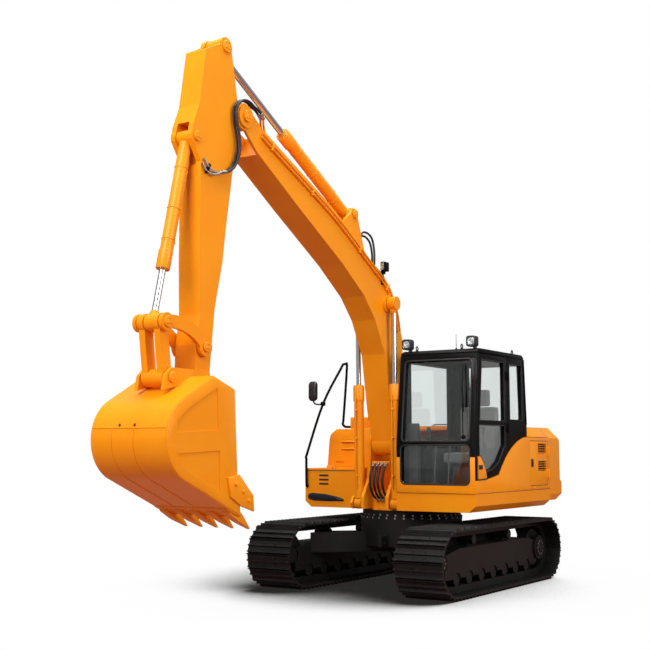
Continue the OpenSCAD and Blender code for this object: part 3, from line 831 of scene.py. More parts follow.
def rounded(y1: float, z1: float, y2: float, z2: float, r: float) -> list[Flat]:
    """Draw a rectangle with round corners.

    Args:
        y1: its one side.
        z1: its foot.
        y2: its other side.
        z2: its head.
        r: the radius of its corners.

    Returns:
        The points round it, in steps of 15 degrees.
    """
    line = []
    for cy, cz, first in ((y2 - r, z2 - r, 0), (y1 + r, z2 - r, 90), (y1 + r, z1 + r, 180), (y2 - r, z1 + r, 270)):
        for turn in range(first, first + 91, 15):
            a = math.radians(turn)
            line.append((cy + r * math.cos(a), cz + r * math.sin(a)))
    return line


def hinges(upright: bool, x: float, level: float, places: Sequence[float]) -> Object:
    """Model butt hinges with their barrels and leaves.

    Args:
        upright: whether the barrels stand, or else lie across the machine.
        x: the axis' place along the machine.
        level: its height, or its place across the machine for upright hinges.
        places: the middle of each hinge along its axis.

    Returns:
        The joined hinges.
    """
    def turned(dx: float, off: float, along: float) -> Point:
        """Give a place by its distance along the machine, off the axis and along it."""
        return (x + dx, off, along) if upright else (x + dx, along, off)

    low, high = sorted(level - math.copysign(drop, level) for drop in (17, 9))
    parts = []
    for place in places:
        parts.append(lathe(at(*turned(0, level, place - 60)), UP if upright else ASIDE,
                           [(11, 0), (14, 3), (14, 117), (11, 120)], 16))
        parts.append(block(turned(-40, low, place - 58), turned(40, high, place + 58), 3.0))
    return joined(parts)


@dataclass
class Assembly:
    """A group of pieces that share the machine's palette."""

    palette: Palette

    def fit(self, piece: Object, name: str, paint: Paint = Paint.ORANGE, body: Optional[Body] = Body.UPPER,
            sharp_deg: float = 32.0) -> Object:
        """Name, dress and hang a finished piece on its body.

        Args:
            piece: the modelled object.
            name: its name in the row.
            paint: its finish.
            body: the body that it moves with, or none, which leaves it on no body.
            sharp_deg: the angle past which an edge stays sharp.

        Returns:
            The same piece.
        """
        settle(piece)
        piece.name = name
        piece.data.name = name
        piece.data.materials.clear()
        piece.data.materials.append(self.palette.made[paint])
        bpy.ops.object.shade_smooth_by_angle(angle=math.radians(sharp_deg))
        if body is not None:
            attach(piece, body.value)
        LOG.info("%s on %s: %d faces", name, body.value if body else "two bodies", len(piece.data.polygons))
        return piece


@dataclass
class SwingBody(Assembly):
    """The sizes that the panels of the swing body share, in machine millimetres."""

    half_width: float = 1255.0
    deck_top: float = 1140.0
    weight_x: float = -1480.0
    hood_z: float = 1935.0
    shoulder_z: float = 1800.0
    cover_end: float = -710.0
    sill: Flat = (776.0, 1288.0)
    gap: float = 6.0
    vent_z: Flat = (1376.0, 1600.0)

    def cover_line(self) -> list[Flat]:
        """Draw the curved upper edge of the left panel, from the rear to the sill's front."""
        return bowed((-654, self.shoulder_z), (116, 1348), 80, 16) + [(470, self.sill[1] + 8), self.sill]


@dataclass
class BodyPanels(SwingBody):
    """The pressed panels, the tank and the counterweight of the swing body, with their rounded forms."""

    hood_front: float = -782.0
    shoulder_w: float = 105.0
    panel_t: float = 55.0
    door_t: float = 30.0
    door: tuple[float, float, float, float] = (-1420.0, -830.0, 1190.0, 1760.0)
    tank_front: float = 90.0

    def weight(self) -> None:
        """Model the counterweight with its lower bulge, sloping head and lifting holes."""
        rings = []
        steps = 28
        for z, r, side in ((988, 2160, 1200), (1070, 2270, 1250), (1215, 2270, 1250), (1262, 2225, 1250),
                           (1765, 2225, 1250), (1800, 2190, 1248), (self.hood_z, 2060, 1142)):
            reach = math.asin(side / r)
            turns = [math.pi - reach + 2 * reach * k / steps for k in range(steps + 1)]
            rings.append([at(r * math.cos(a), r * math.sin(a), z) for a in turns]
                         + [at(self.weight_x, -side, z), at(self.weight_x, side, z)])
        holes = [lathe(at(-1545, y, self.hood_z - 90), UP, [(21, 0), (21, 120)], 32) for y in (-400, 400)]
        piece = self.fit(carve(loft(rings), holes), "counterweight_casting", sharp_deg=28.0)
        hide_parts("counterweight")
        self.fit(hinges(False, self.weight_x + 3, self.hood_z + 16, (-760, 760)), "hood_hinges")

    def hood(self) -> None:
        """Fold the hood: a flat top, a raised panel and sloping shoulders."""
        top = self.hood_z
        foot, edge = self.shoulder_z + self.gap, self.half_width - 8
        half = [(edge, foot), (edge - 45, foot), (edge - self.shoulder_w - 18, top - 35)]
        shell = [(-edge, foot), (-edge + self.shoulder_w, top), (edge - self.shoulder_w, top)] + half
        shell += [(-y, z) for y, z in half[:0:-1]]
        panel = [(-420, top - 4), (-396, top + 26), (396, top + 26), (420, top - 4)]
        piece = self.fit(joined([along_x(shell, self.weight_x + self.gap, self.hood_front, 6.0),
                                 along_x(panel, self.weight_x + 100, self.hood_front - 70, 8.0)]),
                         "hood_shell", body=Body.ENGINE_HOOD)
        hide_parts("engine_hood")

    def covers(self) -> None:
        """Press the two side panels with the openings of their doors."""
        x1, x2, z1, z2 = self.door
        rear_head, rear_foot = (self.weight_x, self.shoulder_z), (self.weight_x, self.deck_top)
        edges = {Side.LEFT: self.cover_line() + [(self.sill[0], self.deck_top)],
                 Side.RIGHT: [(self.cover_end, self.shoulder_z), (self.cover_end, self.deck_top)]}
        for side, edge in edges.items():
            y1, y2 = side.between(self.half_width, self.half_width - self.panel_t)
            piece = carve(across([rear_head] + edge + [rear_foot], y1, y2, 5.0),
                          [block((x1, y1 - 50, z1), (x2, y2 + 50, z2), 8.0)])
            self.fit(piece, f"{side.tag}_cover_panel")
            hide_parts(f"{side.tag}_cover")
            pair = hinges(True, x1 + 3, side.value * (self.half_width + 16), (1340, 1620))
            self.fit(pair, f"{side.tag}_door_hinges")

    def doors(self) -> None:
        """Press the two service doors with their slatted vents."""
        x1, x2, z1, z2 = self.door
        for side in Side:
            y1, y2 = side.between(self.half_width, self.half_width - self.door_t)
            leaf = block((x1 + self.gap, y1, z1 + self.gap), (x2 - self.gap, y2, z2 - self.gap), 5.0)
            cuts, slats = [], []
            for z in self.vent_z:
                cuts.append(across(rounded(-1370, z, -1090, z + 124, 14), y1 - 20, y2 + 20))
                for foot in (z + 8 + k * 30 for k in range(4)):
                    slat = [(-1376, foot), (-1084, foot), (-1084, foot + 8), (-1376, foot + 8)]
                    slats.append(across(slat, y1 + 4, y2 - 4, 2.0))
            piece = self.fit(joined([carve(leaf, cuts)] + slats), f"{side.door.value}_leaf", body=side.door)
            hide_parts(side.door.value)

    def tank(self) -> None:
        """Press the fuel tank with its sloping outer wall, louvres and the breather box on top."""
        front, deck = self.tank_front, self.deck_top
        shape = [(-1203, deck), (-1203, 1407), (-1171, 1780), (-1150, 1850), (-1059, 1915), (-430, 1915),
                 (-430, deck)]
        cuts = [block((front - 22, -975, z), (front + 20, -748, z + 28), 3.0) for z in (1727, 1635)]
        cuts.append(block((front - 16, -1068, 1478), (front + 20, -942, 1494), 2.0))
        body = carve(along_x(shape, -700, front, 14.0), cuts)
        lips = [across([(front - 4, z), (front + 10, z - 14), (front + 10, z - 6), (front - 4, z + 10)],
                       -975, -748, 2.0) for z in (1757, 1665)]
        box = block((-170, -903, 1900), (0, -690, 2070), 16.0)
        piece = self.fit(joined([body, box] + lips), "fuel_tank_shell")
        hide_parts("fuel_tank")
        inner = block((-690, -428, deck), (-120, -300, 1560), 12.0)
        slot_panel = carve(block((-60, -428, deck), (front, -296, 1915), 10.0),
                           [block((front - 20, -386, 1722), (front + 20, -354, 1868), 6.0)])
        self.fit(joined([inner, slot_panel]), "tank_side_panel")

    def box_vents(self) -> None:
        """Set three plain vents into the front of the tool box."""
        slats = [block((512, -1045, z), (523, -905, z + 24), 3.0) for z in (1205, 1258, 1311)]
        self.fit(joined(slats), "toolbox_vents", Paint.PLASTIC)

    def rail(self) -> None:
        """Bend the hand rail with its mirror arm, in one sweep over the tank."""
        knots = [(519, -1215, 1185), (545, -1216, 1188), (552, -1218, 1230), (550, -1222, 1540), (546, -1216, 1590),
                 (420, -1052, 2233), (228, -902, 2690), (208, -880, 2744), (176, -858, 2752), (152, -856, 2700),
                 (66, -962, 2060), (50, -985, 1985), (0, -985, 1950), (-40, -975, 1944), (-50, -940, 1944),
                 (-50, -902, 1944)]
        bend = [(420, -1052, 2233), (420, -1120, 2226), (420, -1180, 2240), (420, -1210, 2290)]
        rail = pipe(flowing([at(*knot) for knot in knots], 5), 16.0)
        knob = lathe(at(420, -1052, 2205), UP, [(20, 0), (32, 10), (32, 46), (20, 56)], 18)
        arm = pipe(flowing([at(*knot) for knot in bend], 6), 10.0)
        piece = self.fit(joined([rail, knob, arm]), "hand_rail", Paint.BLACK)
        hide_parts("handrails")

    def mirrors(self) -> None:
        """Shape the two mirror shells, bowed at the back."""
        depths = ((0, 0.96), (10, 1.0), (26, 0.92), (36, 0.68), (40, 0.3))
        forms = [(off, rounded(*(side * share for side in (-66, -128, 66, 128, 44)))) for off, share in depths]
        shells = [loft([[at(400 + off, -1212 + y, 2400 + z) for y, z in form] for off, form in forms]),
                  loft([[at(806 + x, 1260 + off * 0.8, 2570 + z) for x, z in form] for off, form in forms])]
        stalk = [at(700, 1240, 2380), at(745, 1252, 2384), at(785, 1266, 2410), at(800, 1274, 2460)]
        parts = shells + [pipe(flowing(stalk, 5), 9.0)]
        piece = self.fit(joined(parts), "mirror_shells", Paint.PLASTIC, sharp_deg=50.0)
        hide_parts("mirrors")

    def build(self) -> None:
        """Build every panel."""
        self.weight()
        self.hood()
        self.covers()
        self.doors()
        self.tank()
        self.box_vents()
        self.rail()
        self.mirrors()


@dataclass
class UpperBody(SwingBody):
    """Lamp, latches, handles and grilles of the swing body."""

    front: float = 520.0

    def platform_lamp(self) -> None:
        """Set the long drop-shaped lamp into the front of the platform."""
        corners = [(-1212, 1062), (-1196, 1092), (-1150, 1102), (-960, 1092), (-760, 1060), (-682, 1032),
                   (-675, 1018), (-690, 1008), (-900, 1003), (-1100, 1006), (-1180, 1016), (-1208, 1034)]
        self.fit(along_x(corners, self.front - 12, self.front + 14, 6.0), "platform_lamp_housing", Paint.PLASTIC)
        mid_y, mid_z = -1040, 1052
        pane = [(mid_y + (y - mid_y) * 0.78 - 10, mid_z + (z - mid_z) * 0.62) for y, z in corners]
        # The lens is dark glass; its blue tint is a painted sky reflection
        self.fit(along_x(pane, self.front + 8, self.front + 20, 4.0), "platform_lamp_lens", Paint.DARK_LENS_PAINTED_BLUE_REFLECTION)

    def grilles(self) -> None:
        """Back the vents of the side doors with a black screen."""
        for side in Side:
            y1, y2 = side.between(self.half_width - 32, self.half_width - 38)
            screens = [block((-1388, y1, z - 10), (-1072, y2, z + 134), 2.0) for z in self.vent_z]
            self.fit(joined(screens), f"{side.tag}_vent_screens", Paint.PLASTIC, side.door)

    def latches(self) -> None:
        """Set a flush paddle latch on each side door and a bail handle on the hood."""
        for side in Side:
            low, high = side.between(self.half_width - 2, self.half_width + 7)
            plate = block((-930, low, 1430), (-860, high, 1530), 6.0)
            low, high = side.between(self.half_width + 4, self.half_width + 13)
            paddle = block((-918, low, 1446), (-872, high, 1500), 5.0)
            self.fit(joined([plate, paddle]), f"{side.tag}_door_latch", Paint.PLASTIC, side.door)
        bail = ((-130, -4), (-130, 30), (-115, 44), (115, 44), (130, 30), (130, -4))
        handle = pipe([at(-860, y, self.hood_z + rise) for y, rise in bail], 8.0)
        self.fit(handle, "hood_handle", Paint.BLACK, Body.ENGINE_HOOD)

    def lid_latch(self) -> None:
        """Set the lock of the tool box lid and the grip in the tank panel's slot."""
        lock = lathe(at(450, -857, 1411), UP, [(26, 0), (26, 5), (22, 8), (12, 8), (10, 5)], 24)
        self.fit(lock, "toolbox_lock", Paint.ZINC, Body.TOOLBOX_LID)
        self.fit(pipe([at(521, -1250, 1385), at(521, -465, 1385)], 4.0), "toolbox_lid_seal", Paint.RUBBER)
        self.fit(block((76, -386, 1728), (86, -354, 1862), 4.0), "tank_panel_grip", Paint.RED_OXIDE)

    def filler(self) -> None:
        """Top the tank with a filler cap and its chain lug."""
        cap = lathe(at(-420, -820, 1912), UP, [(64, 0), (64, 8), (56, 10), (56, 30), (48, 36), (0.5, 37)], 28)
        lug = block((-350, -835, 1908), (-318, -805, 1936), 5.0)
        self.fit(joined([cap, lug]), "fuel_filler_cap", Paint.PLASTIC)

    def seams(self) -> None:
        """Run the dark rubber seals round the side doors and under the covers."""
        for side in Side:
            y = side.value * (self.half_width - 6)
            line = [at(x, y, z) for x, z in ((-1417, 1757), (-833, 1757), (-833, 1193), (-1417, 1193))]
            self.fit(pipe(line, 2.6, ring=True), f"{side.tag}_door_seal", Paint.RUBBER)
            reach = self.sill[0] if side is Side.LEFT else self.cover_end
            foot = [at(x, y + side.value * 5, self.deck_top + 1) for x in (self.weight_x + 2, reach)]
            self.fit(pipe(foot, 3.0), f"{side.tag}_cover_seam", Paint.RUBBER)

    def plate_bolts(self) -> None:
        """Bolt the covers down along their lower edge, on both sides."""
        rear, front = (-1440, -1200, -960, -740), (-400, -60, 300, 640)
        places = [facing(at(x, side.value * self.half_width, self.deck_top + 25), side.out) for side in Side
                  for x in (rear + front if side is Side.LEFT else rear)]
        self.fit(placed(hex_bolt(9.0), places), "cover_bolts")

    def build(self) -> None:
        """Build every piece of the swing body."""
        self.platform_lamp()
        self.grilles()
        self.latches()
        self.lid_latch()
        self.filler()
        self.seams()
        self.plate_bolts()


@dataclass
class CabFrame(SwingBody):
    """The sizes that the cab's shell and its fittings share, in machine millimetres."""

    right: float = 230.0
    left: float = 1255.0
    front: float = 790.0
    rear: float = -750.0
    bend_z: float = 1720.0
    rear_bend_z: float = 1940.0
    roof_z: float = 2774.0
    top: float = 2830.0
    slope: float = 118.0
    rear_slope: float = 60.0
    low_pane: Pane = (286.0, 1240.0, 1189.0, 1698.0, 60.0)
    high_pane: Pane = (300.0, 1742.0, 1186.0, 2704.0, 45.0)
    quarter: Pane = (-600.0, 2010.0, -220.0, 2694.0, 40.0)
    side_pane: tuple[Flat, ...] = ((-560, 1760), (500, 1760), (500, 2694), (-560, 2694))
    door_pane: tuple[Flat, ...] = ((-65, 1986), (642, 1986), (564, 2700), (-65, 2700))
    lamp_y: Flat = (215.0, 1077.0)

    def front_x(self, z: float) -> float:
        """Give the front face's place along the machine at a height."""
        return self.front - max(0.0, z - self.bend_z) * self.slope / (self.roof_z - self.bend_z)

    def rear_x(self, z: float) -> float:
        """Give the rear face's place along the machine at a height above its bend."""
        return self.rear + (z - self.rear_bend_z) * self.rear_slope / (self.roof_z - self.rear_bend_z)


@dataclass
class CabShell(CabFrame):
    """The cab's frames, panes and roof with their round corners."""

    wall_t: float = 56.0
    pane_t: float = 6.0
    floor_z: float = 1205.0
    door_rear: float = -150.0
    skirt_t: float = 12.0
    skirt_z: float = 1558.0
    low_door_pane: tuple[Flat, ...] = ((-65, 1700), (130, 1512), (290, 1428), (450, 1396), (664, 1396), (664, 1720),
                                       (658, 1934), (-65, 1934))

    def front_frame(self) -> None:
        """Cut the front frame with its two round-cornered windows, and the painted skirt before it."""
        inner, skirt_x = self.front - self.wall_t, self.front - self.skirt_t
        side = [(inner, self.floor_z), (self.front, self.floor_z), (self.front, self.bend_z),
                (self.front - self.slope, self.roof_z), (inner - self.slope, self.roof_z), (inner, self.bend_z)]
        cuts = [along_x(rounded(*pane), 500, 900) for pane in (self.low_pane, self.high_pane)]
        cuts.append(block((skirt_x, self.right - 20, 1100), (self.front + 20, self.left + 20, self.skirt_z), 1.0))
        cuts.append(block((500, 1198, 1100), (900, 1300, 1291), 1.0))
        piece = self.fit(carve(across(side, self.right, self.left, 8.0), cuts), "cab_front_frame", Paint.BLACK)
        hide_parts("cab_front")
        skirt = block((skirt_x, self.right, self.deck_top), (self.front + 2, self.left, self.skirt_z), 5.0)
        self.fit(carve(skirt, [along_x(rounded(*self.low_pane), 500, 900)]), "cab_skirt")

    def door_shape(self) -> list[Flat]:
        """Draw the door's outline, with its curved lower edge above the side panel."""
        gap = self.gap
        inner, rear, head = self.front - self.wall_t - gap, self.door_rear + gap, self.roof_z - gap
        lower = [(x + gap, z + gap) for x, z in self.cover_line() if rear - gap < x < inner - gap]
        foot = lower[0][1] + (lower[0][0] - rear) * 0.75
        upper = [(inner, lower[-1][1]), (inner, self.bend_z), (inner - self.slope * 0.99, head), (rear, head)]
        return [(rear, foot)] + lower + upper

    def door(self) -> None:
        """Cut the door with its two windows and glaze it."""
        y1, y2 = self.left - self.wall_t, self.left
        windows = (self.door_pane, self.low_door_pane)
        leaf = carve(across(self.door_shape(), y1, y2, 8.0), [across(pane, y1 - 40, y2 + 40) for pane in windows])
        hinge = hinges(True, self.door_rear + 3, self.left + 16, (1910, 2540))
        piece = self.fit(joined([leaf, hinge]), "door_leaf", Paint.BLACK, Body.CAB_DOOR)
        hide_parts("cab_door")
        panes = [across(pane, self.left - 31, self.left - 31 + self.pane_t) for pane in windows]
        piece = self.fit(joined(panes), "door_panes", Paint.GLASS, Body.CAB_DOOR)
        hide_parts("door_glass")

    def left_wall(self) -> None:
        """Cut the wall behind the door, with the quarter window."""
        y1, y2 = self.left - self.wall_t, self.left
        foot = self.shoulder_z + 12
        lower = [(x + 4, z + self.gap) for x, z in self.cover_line() if -700 < x < self.door_rear]
        shape = [(self.rear + 4, foot), (-660, foot)] + lower[1:]
        shape += [(self.door_rear, lower[-1][1] - 18), (self.door_rear, self.roof_z), (self.rear + 66, self.roof_z),
                  (self.rear + 4, self.rear_bend_z)]
        wall = carve(across(shape, y1, y2, 8.0), [across(rounded(*self.quarter), y1 - 40, y2 + 40)])
        self.fit(wall, "cab_left_frame", Paint.BLACK)
        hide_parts("cab_left_wall")

    def panes(self) -> None:
        """Glaze the cab's fixed windows."""
        thick = AHEAD * (self.pane_t / 1000)
        low = along_x(rounded(*self.low_pane), self.front - 40, self.front - 40 + self.pane_t)
        high = outline([at(self.front_x(z) - 40, y, z) for y, z in rounded(*self.high_pane)], thick)
        side = across(self.side_pane, self.right + 25, self.right + 25 + self.pane_t)
        quarter = across(rounded(*self.quarter), self.left - 30, self.left - 30 + self.pane_t)
        corners = ((320, 1990), (1165, 1990), (1165, 2694), (320, 2694))
        rear = outline([at(self.rear_x(z) + 25, y, z) for y, z in corners], thick)
        piece = self.fit(joined([low, high, side, quarter, rear]), "cab_panes", Paint.GLASS)
        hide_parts("cab_glass")

    def roof(self) -> None:
        """Press the roof with its rolled edges and its hatch."""
        front, top = self.front - self.slope, self.top
        side = [(self.rear + 60, self.roof_z), (front, self.roof_z), (front - 8, top - 30), (front - 70, top),
                (self.rear + 130, top), (self.rear + 70, top - 26)]
        hatch = block((-330, 490, top - 10), (270, 1025, top + 20), 14.0)
        piece = self.fit(joined([across(side, self.right, self.left, 22.0), hatch]), "cab_roof_shell", Paint.BLACK)
        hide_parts("cab_roof")

    def trims(self) -> None:
        """Line the cab inside: the low side wall under the door, and a black rear pillar panel whose dark is painted
        shade seen through the rear window.
        """
        low = [(-140, self.floor_z), (728, self.floor_z), (728, 1290), (470, 1298), (116, 1350), (-140, 1500)]
        corners = ((290, 1950), (520, 1950), (520, 2770), (290, 2770))
        # Painted shade: this black panel inside the rear glass darkens the view through the window's right side
        pillar = outline([at(self.rear_x(z) + 62, y, z) for y, z in corners], AHEAD * 0.012, 3.0)
        self.fit(joined([across(low, 1184, 1196, 3.0), pillar]), "cab_trims_and_painted_shade_panel", Paint.BLACK)

    def lamp_shells(self) -> None:
        """Mould the two roof lamps on their feet."""
        shells = []
        for y in self.lamp_y:
            shell = along_x(rounded(y, self.top + 22, y + 120, self.top + 152, 30), 510, 610, 6.0)
            mouth = along_x(rounded(y + 13, self.top + 35, y + 107, self.top + 139, 22), 598, 640)
            foot = block((540, y + 76, self.top - 4), (580, y + 112, self.top + 32), 5.0)
            shells += [carve(shell, [mouth]), foot]
        piece = self.fit(joined(shells), "roof_lamp_shells", Paint.PLASTIC)
        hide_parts("cab_lamps")

    def build(self) -> None:
        """Build the whole shell."""
        self.front_frame()
        self.door()
        self.left_wall()
        self.panes()
        self.roof()
        self.trims()
        self.lamp_shells()


@dataclass
class Cab(CabFrame):
    """Seals, trim, lamps, seat and controls of the cab."""

    pad_roll: float = 0.03
    pad_fill: float = 0.75

    def seals(self) -> None:
        """Lay the black rubber seals round all windows."""
        for name, pane in (("low_front", self.low_pane), ("high_front", self.high_pane)):
            line = [at(self.front_x(z) - 2, y, z) for y, z in rounded(*pane)]
            self.fit(pipe(line, 10.0, ring=True), f"{name}_seal", Paint.RUBBER)
        low_door = ((-65, 1700), (130, 1500), (290, 1420), (450, 1390), (664, 1390), (664, 1720),
                    (658, 1934), (-65, 1934))
        x1, z1, x2, z2, _ = self.quarter
        corners = ((x1, z1), (x2, z1), (x2, z2), (x1, z2))
        for name, y, line, body in (("door_upper", self.left - 2, self.door_pane, Body.CAB_DOOR),
                                    ("door_lower", self.left - 2, low_door, Body.CAB_DOOR),
                                    ("quarter_window", self.left - 2, corners, Body.UPPER),
                                    ("right_window", self.right + 2, self.side_pane, Body.UPPER)):
            self.fit(pipe([at(x, y, z) for x, z in line], 8.0, ring=True), f"{name}_seal", Paint.RUBBER, body)

    def door_trim(self) -> None:
        """Fit the painted corner panel of the door with its grip."""
        corners = [(722, 1572), (655, 1571), (562, 1492), (498, 1391), (478, 1312), (722, 1304)]
        y = self.left
        self.fit(across(corners, y - 2, y + 10, 4.0), "door_corner_panel", body=Body.CAB_DOOR)
        border = pipe([at(x, y + 9, z) for x, z in corners], 3.5, ring=True)
        self.fit(border, "door_corner_seal", Paint.RUBBER, Body.CAB_DOOR)
        slot = block((600, y + 8, 1418), (700, y + 15, 1470), 5.0)
        grip = block((612, y + 13, 1452), (690, y + 24, 1466), 4.0)
        self.fit(joined([slot, grip]), "door_grip", Paint.PLASTIC, Body.CAB_DOOR)

    def lamps(self) -> None:
        """Glaze the roof lamps and set a bowl behind each lens."""
        for name, y in zip(("right", "left"), self.lamp_y):
            bowl = lathe(at(600, y + 60, self.top + 87), AHEAD,
                         [(40, -1), (42, 2), (36, 4), (14, -0.5), (10, 2), (0.5, 3)], 28)
            self.fit(bowl, f"{name}_lamp_bowl", Paint.ZINC)
            lens = block((604, y + 15, self.top + 37), (611, y + 105, self.top + 137), 3.0)
            self.fit(lens, f"{name}_lamp_lens", Paint.LENS)

    def roof_fittings(self) -> None:
        """Stand the aerial and the lifting eyes on the roof, and seal its hatch."""
        rod = lathe(at(500, 897, self.top - 2), UP, [(16, 0), (16, 10), (9, 22), (4, 30), (2.5, 190), (1.5, 192)], 12)
        self.fit(rod, "roof_aerial", Paint.RUBBER)
        eyes = []
        for x, y in ((560, 400), (560, 1000), (-560, 330), (-560, 1150)):
            ring = [at(x + 24 * math.cos(a), y, self.top + 34 + 24 * math.sin(a)) for a in angles(16)]
            eyes.append(pipe(ring, 7.0, ring=True))
            eyes.append(lathe(at(x, y, self.top - 2), UP, [(22, 0), (22, 8), (12, 12), (9, 16)], 16))
        self.fit(joined(eyes), "roof_lifting_eyes", Paint.BLACK)
        hatch = [at(x, y, self.top + 1) for x, y in ((-326, 500), (266, 500), (266, 1016), (-326, 1016))]
        self.fit(pipe(hatch, 7.0, ring=True), "hatch_seal", Paint.RUBBER)

    def wiper(self) -> None:
        """Park the wiper upright beside the front pillar."""
        def before(proud: float, y: float, z: float) -> Vector:
            """Give a place by how far it stands out of the front face."""
            return at(self.front_x(z) + proud, y, z)

        boss = lathe(before(2, 1120, 1790), AHEAD, [(26, 0), (26, 22), (18, 32), (0.5, 34)], 20)
        arm = pipe([before(26, 1120, 1790), before(26, 1080, 2420)], 6.0)
        blade = pipe([before(-10, 1100, 2080), before(20, 1082, 2400), before(-8, 1072, 2650)], 7.0)
        self.fit(joined([boss, arm, blade]), "front_wiper", Paint.BLACK)

    def mirrors(self) -> None:
        """Glaze the two mirrors on their rear faces."""
        right = [(-1212 + 52 * math.cos(a), 2400 + 112 * math.sin(a)) for a in angles(32)]
        self.fit(along_x(right, 400.5, 396.5, 1.0), "right_mirror_glass", Paint.MIRROR)
        left = [(806 + 50 * math.cos(a), 2570 + 112 * math.sin(a)) for a in angles(32)]
        self.fit(across(left, 1260.5, 1257.5, 1.0), "left_mirror_glass", Paint.MIRROR)

    def cushion(self, name: str, low: Point, high: Point, crown: float) -> None:
        """Model a crowned seat cushion with rolled sides.

        Args:
            name: its name.
            low: its lowest corner in machine millimetres.
            high: its highest corner.
            crown: how much of it is rounded off, from 0 to 1.
        """
        pad = cube(low, high)
        open_mesh()
        bpy.ops.mesh.subdivide(number_cuts=2)
        bpy.ops.object.mode_set(mode="OBJECT")
        modify(pad, "BEVEL", {"width": self.pad_roll * crown, "segments": 2})
        modify(pad, "SUBSURF", {"levels": 2, "render_levels": 2})
        self.fit(pad, name, Paint.CLOTH, sharp_deg=60.0)

    def seat(self) -> None:
        """Build the driver's seat: pedestal, cushions and head rest."""
        parts = [block((-360, 570, 1205), (0, 910, 1440), 20.0), block((-330, 600, 1430), (-30, 880, 1490), 10.0)]
        base = self.fit(joined(parts), "seat_pedestal", Paint.PLASTIC)
        self.cushion("seat_cushion", (-420, 490, 1480), (90, 990, 1610), 0.9)
        self.cushion("seat_back", (-520, 500, 1600), (-380, 980, 2180), 0.9)
        self.cushion("head_rest", (-510, 610, 2190), (-410, 870, 2400), 0.8)
        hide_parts("seat")

    def controls(self) -> None:
        """Put knobs and bellows on the levers, and a screen on the front pillar."""
        lean = Vector((0.15, 0, 1))
        for name, y in (("right", 370), ("left", 1095)):
            knob = lathe(at(206, y, 1830), lean, [(16, 0), (22, 12), (26, 50), (24, 80), (14, 96), (0.5, 100)], 20)
            boot = lathe(at(178, y, 1658), lean, [(48, 0), (48, 10), (36, 18), (40, 26), (30, 34), (33, 42), (22, 52),
                                                  (17, 60)], 20)
            self.fit(joined([knob, boot]), f"{name}_lever_knob", Paint.RUBBER)
        self.fit(block((585, 305, 1840), (640, 445, 1960), 12.0), "screen_housing", Paint.PLASTIC)
        self.fit(block((581, 318, 1856), (587, 432, 1946), 2.0), "screen_glass", Paint.LENS)

    def build(self) -> None:
        """Build every piece of the cab."""
        self.seals()
        self.door_trim()
        self.lamps()
        self.roof_fittings()
        self.wiper()
        self.mirrors()
        self.seat()
        self.controls()


@dataclass
class Undercarriage(Assembly):
    """Bolts and caps of the tracks and of the slew ring."""

    gauge: float = 1990.0
    length: float = 3455.0
    height: float = 785.0
    shoes: int = 44
    shoe_t: float = 14.0
    grouser: float = 24.0
    ring_r: float = 610.0
    ring_z: float = 838.0
    ring_bolts: int = 36

    @property
    def loop(self) -> Point:
        """Radius of the loop's ends, half its straight run and the height of its middle."""
        return self.height / 2 - self.grouser - self.shoe_t, (self.length - self.height) / 2, self.height / 2

    def on_loop(self, along: float) -> Vector:
        """Give the place of a chain pin at a distance along the loop, as X and Z."""
        r, x, z = self.loop
        run, arc = 2 * x, math.pi * r
        along %= 2 * (run + arc)
        if along < run:
            return Vector((-x + along, 0, z - r))
        if along < run + arc:
            a = (along - run) / r
            return Vector((x + r * math.sin(a), 0, z - r * math.cos(a)))
        if along < 2 * run + arc:
            return Vector((x - (along - run - arc), 0, z + r))
        a = (along - 2 * run - arc) / r
        return Vector((-x - r * math.sin(a), 0, z + r * math.cos(a)))

    def shoe_bolts(self, side: Side) -> None:
        """Set four bolt heads between the grousers of every shoe of one track."""
        r, x, _ = self.loop
        pitch = (4 * x + 2 * math.pi * r) / self.shoes
        places = []
        for k in range(self.shoes):
            a, b = self.on_loop(k * pitch), self.on_loop((k + 1) * pitch)
            run = (b - a).normalized()
            out = Vector((run.z, 0, -run.x))
            for u in (-36.0, 36.0):
                for v in (-75.0, 75.0):
                    spot = (a + b) / 2 + run * u + out * self.shoe_t
                    places.append(facing(at(spot.x, side.value * self.gauge / 2 + v, spot.z), out))
        self.fit(placed(hex_bolt(11.0), places), f"{side.tag}_shoe_bolts", Paint.TRACK, Body.UNDERCARRIAGE)

    def slew_bolts(self) -> None:
        """Ring the slew bearing with two rows of bolts."""
        places = []
        for a in angles(self.ring_bolts):
            out = Vector((math.cos(a), math.sin(a), 0))
            for z, r in ((self.ring_z + 17, self.ring_r - 1), (self.ring_z - 17, self.ring_r + 19)):
                places.append(facing(at(out.x * r, out.y * r, z), out))
        self.fit(placed(hex_bolt(9.0), places), "slew_ring_bolts", Paint.ZINC, Body.UNDERCARRIAGE)

    def hub_caps(self) -> None:
        """Close the drive hubs and the idler shafts with bolted caps."""
        _, x, z = self.loop
        caps, bolts = [], []
        drive = [(112, -2), (112, 8), (96, 14), (60, 14), (50, 22), (0.5, 24)]
        idler = [(80, -2), (80, 8), (68, 14), (30, 14), (26, 22), (0.5, 24)]
        for side in Side:
            reach = 150 if side is Side.LEFT else 120
            hubs = ((-x, reach, drive, 40, 10, 84), (x, 110, idler, 32, 6, 50))
            for hub_x, proud, form, sides, count, row_r in hubs:
                y = side.value * (self.gauge / 2 + proud)
                caps.append(lathe(at(hub_x, y, z), side.out, form, sides))
                for a in angles(count):
                    spot = at(hub_x + row_r * math.cos(a), y + side.value * 13, z + row_r * math.sin(a))
                    bolts.append(facing(spot, side.out))
        self.fit(joined(caps), "hub_caps", Paint.TRACK, Body.UNDERCARRIAGE)
        self.fit(placed(hex_bolt(8.0), bolts), "hub_bolts", Paint.ZINC, Body.UNDERCARRIAGE)

    def build(self) -> None:
        """Build every piece of the undercarriage."""
        for side in Side:
            self.shoe_bolts(side)
        self.slew_bolts()
        self.hub_caps()


